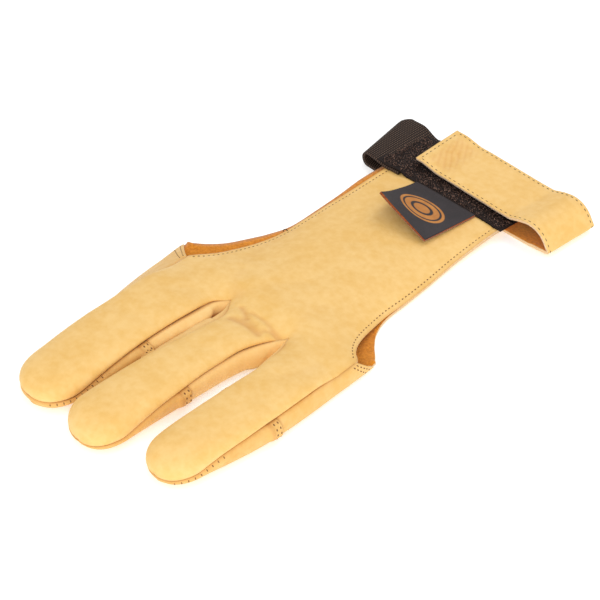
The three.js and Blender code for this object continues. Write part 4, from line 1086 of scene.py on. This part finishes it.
def spaced(line, up, pitch):
    """Places along a line at an even pitch, with the direction ahead and the direction up at each."""
    at = np.concatenate([[0], np.cumsum(np.linalg.norm(np.diff(line, axis=0), axis=1))])
    where = np.arange(pitch * 0.5, at[-1], pitch)
    along = unit(read_line(where, at, np.gradient(line, axis=0)))
    return read_line(where, at, line), along, square_to(read_line(where, at, up), along)


def inset_line(grid, distance, inset):
    """The line on a grid that lies a given distance from its edge, one point to a row."""
    return np.array([read_line(inset, gaps, row) for row, gaps in zip(grid, distance)])


def join(parts):
    """Joins lists of points and faces into one."""
    starts = np.cumsum([0] + [len(points) for points, _ in parts[:-1]])
    faces = [part_faces + start for (_, part_faces), start in zip(parts, starts)]
    return np.concatenate([points for points, _ in parts]), np.concatenate(faces)


open_rows = palm_t < CORNER / LAST
palm_grid = upper_points[palm_index]
palm_up = grid_normals(palm_grid)
palm_up = palm_up * np.sign(palm_up[..., 2:3])
palm_parts = []
for backwards, patch_corner in ((False, -104.5), (True, -103.0)):
    turned = slice(None, None, -1 if backwards else 1)
    gap = row_distance(palm_grid, backwards)[open_rows][:, turned]
    line = inset_line(palm_grid[open_rows][:, turned], gap, STITCH_INSET)
    line_up = inset_line(palm_up[open_rows][:, turned], gap, STITCH_INSET)
    keep = line[:, 1] > patch_corner
    place, ahead, upward = spaced(line[keep], line_up[keep], PALM_PITCH)
    palm_parts.append(beads(place - 0.02 * upward, ahead, upward, PALM_STITCH))
put("palm_stitches", *join(palm_parts), [THREAD], "leather")

strap_up = grid_normals(strap)
both_insets = (STRAP_INSET, STRAP_WIDTH - STRAP_INSET)
rows = [int(round(inset / STRAP_WIDTH * (STRAP_ROWS - 1))) for inset in both_insets]
strap_parts = []
for row in rows:
    start, stop = np.searchsorted(strap_run[row], (STRAP_INSET, 118.0))
    stitches = spaced(strap[row, start:stop], strap_up[row, start:stop], STRAP_PITCH)
    strap_parts.append(beads(*stitches, STRAP_STITCH))
column = int(np.searchsorted(strap_run[20], STRAP_INSET))
stitches = spaced(strap[rows[0]:rows[1], column], strap_up[rows[0]:rows[1], column], STRAP_PITCH)
strap_parts.append(beads(*stitches, STRAP_STITCH))
put("strap_stitches", *join(strap_parts), [DARK_THREAD], "leather")

# The caps' ends carry two short columns of stitches, and hand stitches pull in the seam beside the outer two
# fingertips.
cap_parts = []
for (i, side), (body, length) in cap_sides.items():
    outward = grid_normals(body) * side
    facing = (outward * finger_side(i, side, length)[1][:, None]).sum(-1, keepdims=True)
    outward = outward * np.sign(facing)
    for back_from in (1.0, 2.7):
        row = int(np.argmin(np.abs(length - (LAPS[i][side > 0] - HEM + back_from))))
        depth = row_distance(body[row:row + 1])[0]
        where = np.arange(1.9, depth[-1] - 1.0, CAP_PITCH)
        ahead = unit(read_line(where, depth, np.gradient(body[row], axis=0)))
        up = read_line(where, depth, outward[row])
        cap_parts.append(beads(read_line(where, depth, body[row]), ahead, up, CAP_STITCH))
    if i != 1:
        tip = (length > FINGERS[i]["at"][-1] - 9) & (length < FINGERS[i]["tip"][1] - 2.0)
        gap = row_distance(body[tip])
        line, line_up = inset_line(body[tip], gap, 1.1), inset_line(outward[tip], gap, 1.1)
        place, ahead, upward = spaced(line, line_up, TIP_PITCH)
        cap_parts.append(beads(place, np.cross(ahead, upward), upward, TIP_STITCH))
# So do the outer gussets' ends.
for side, body in outer_walls.items():
    outward = grid_normals(body)
    outward = outward * np.sign(outward[..., :1] * side)
    into = row_distance(np.swapaxes(body, 0, 1))[4]
    for back_from in (1.2, 2.9):
        row = int(np.searchsorted(into, back_from))
        cap_parts.append(beads(*spaced(body[row, 1:], outward[row, 1:], HEM_PITCH), HEM_STITCH))
put("cap_stitches", *join(cap_parts), [THREAD], "leather")

# One thread end stands up at the right edge of the palm, where the topstitching was started.
NUB = np.array([[32.4, -46.6, 0]])
NUB[:, 2] = on_palm(NUB[:, 0], NUB[:, 1]) + 0.2
nub_ahead, nub_up = np.array([[0.6, 0.8, 0.0]]), np.array([[0.0, 0.0, 1.0]])
nub = tubes(NUB, nub_ahead, nub_up, np.array([0.8]), 0.2, bends=12, sides=8)
put("thread_end", *nub, [DARK_THREAD], "leather")


# Stage, light and camera. The glove lies on a backlit sheet of matte white acrylic, which keeps the ground
# white and the shadows faint, under two large soft lights in a bright room.
floor = bpy.data.meshes.new("table")
floor.from_pydata([(-3, -3, 0), (3, -3, 0), (3, 3, 0), (-3, 3, 0)], [], [(0, 1, 2, 3)])
table = bpy.data.objects.new("table", floor)
bpy.context.collection.objects.link(table)
ACRYLIC, tree, shader = new_material("backlit white acrylic", rough=0.9, specular=0.1)
shader.inputs["Base Color"].default_value = linear("#fafafa")
shader.inputs["Emission Color"].default_value = linear("#ffffff")
shader.inputs["Emission Strength"].default_value = 0.3
floor.materials.append(ACRYLIC)

world = bpy.data.worlds.new("bright room")
world.use_nodes = True
world.node_tree.nodes["Background"].inputs["Color"].default_value = (1, 1, 1, 1)
world.node_tree.nodes["Background"].inputs["Strength"].default_value = 0.74
bpy.context.scene.world = world


def soft_light(name, place, size, power):
    """A square area light that faces the glove."""
    lamp = bpy.data.lights.new(name, "AREA")
    lamp.size = size
    lamp.energy = power
    lit = bpy.data.objects.new(name, lamp)
    lit.location = place
    lit.rotation_euler = (-Vector(place)).to_track_quat("-Z", "Y").to_euler()
    bpy.context.collection.objects.link(lit)


soft_light("softbox over the wrist", (0.12, -0.75, 0.95), 0.6, 3.0)
soft_light("softbox beside the camera", (-0.72, 0.8, 0.55), 0.8, 7.0)

AZIMUTH, ELEVATION = np.radians(-132), np.radians(39)
DISTANCE = 0.7
FOCAL_PIXELS = 1900  # focal length in pixels of the 600 pixel frame
SENSOR = 36
level = np.cos(ELEVATION)
back = Vector((np.sin(AZIMUTH) * level, -np.cos(AZIMUTH) * level, np.sin(ELEVATION)))
aim = Vector((SHIFT + [0, -25, 0]) / 1000)
camera = bpy.data.objects.new("camera", bpy.data.cameras.new("camera"))
camera.data.lens = SENSOR * FOCAL_PIXELS / 600
camera.data.sensor_width = SENSOR
camera.location = aim + back * DISTANCE
camera.rotation_euler = back.to_track_quat("Z", "Y").to_euler()
bpy.context.collection.objects.link(camera)
bpy.context.scene.camera = camera
bpy.context.scene.view_settings.view_transform = "Standard"
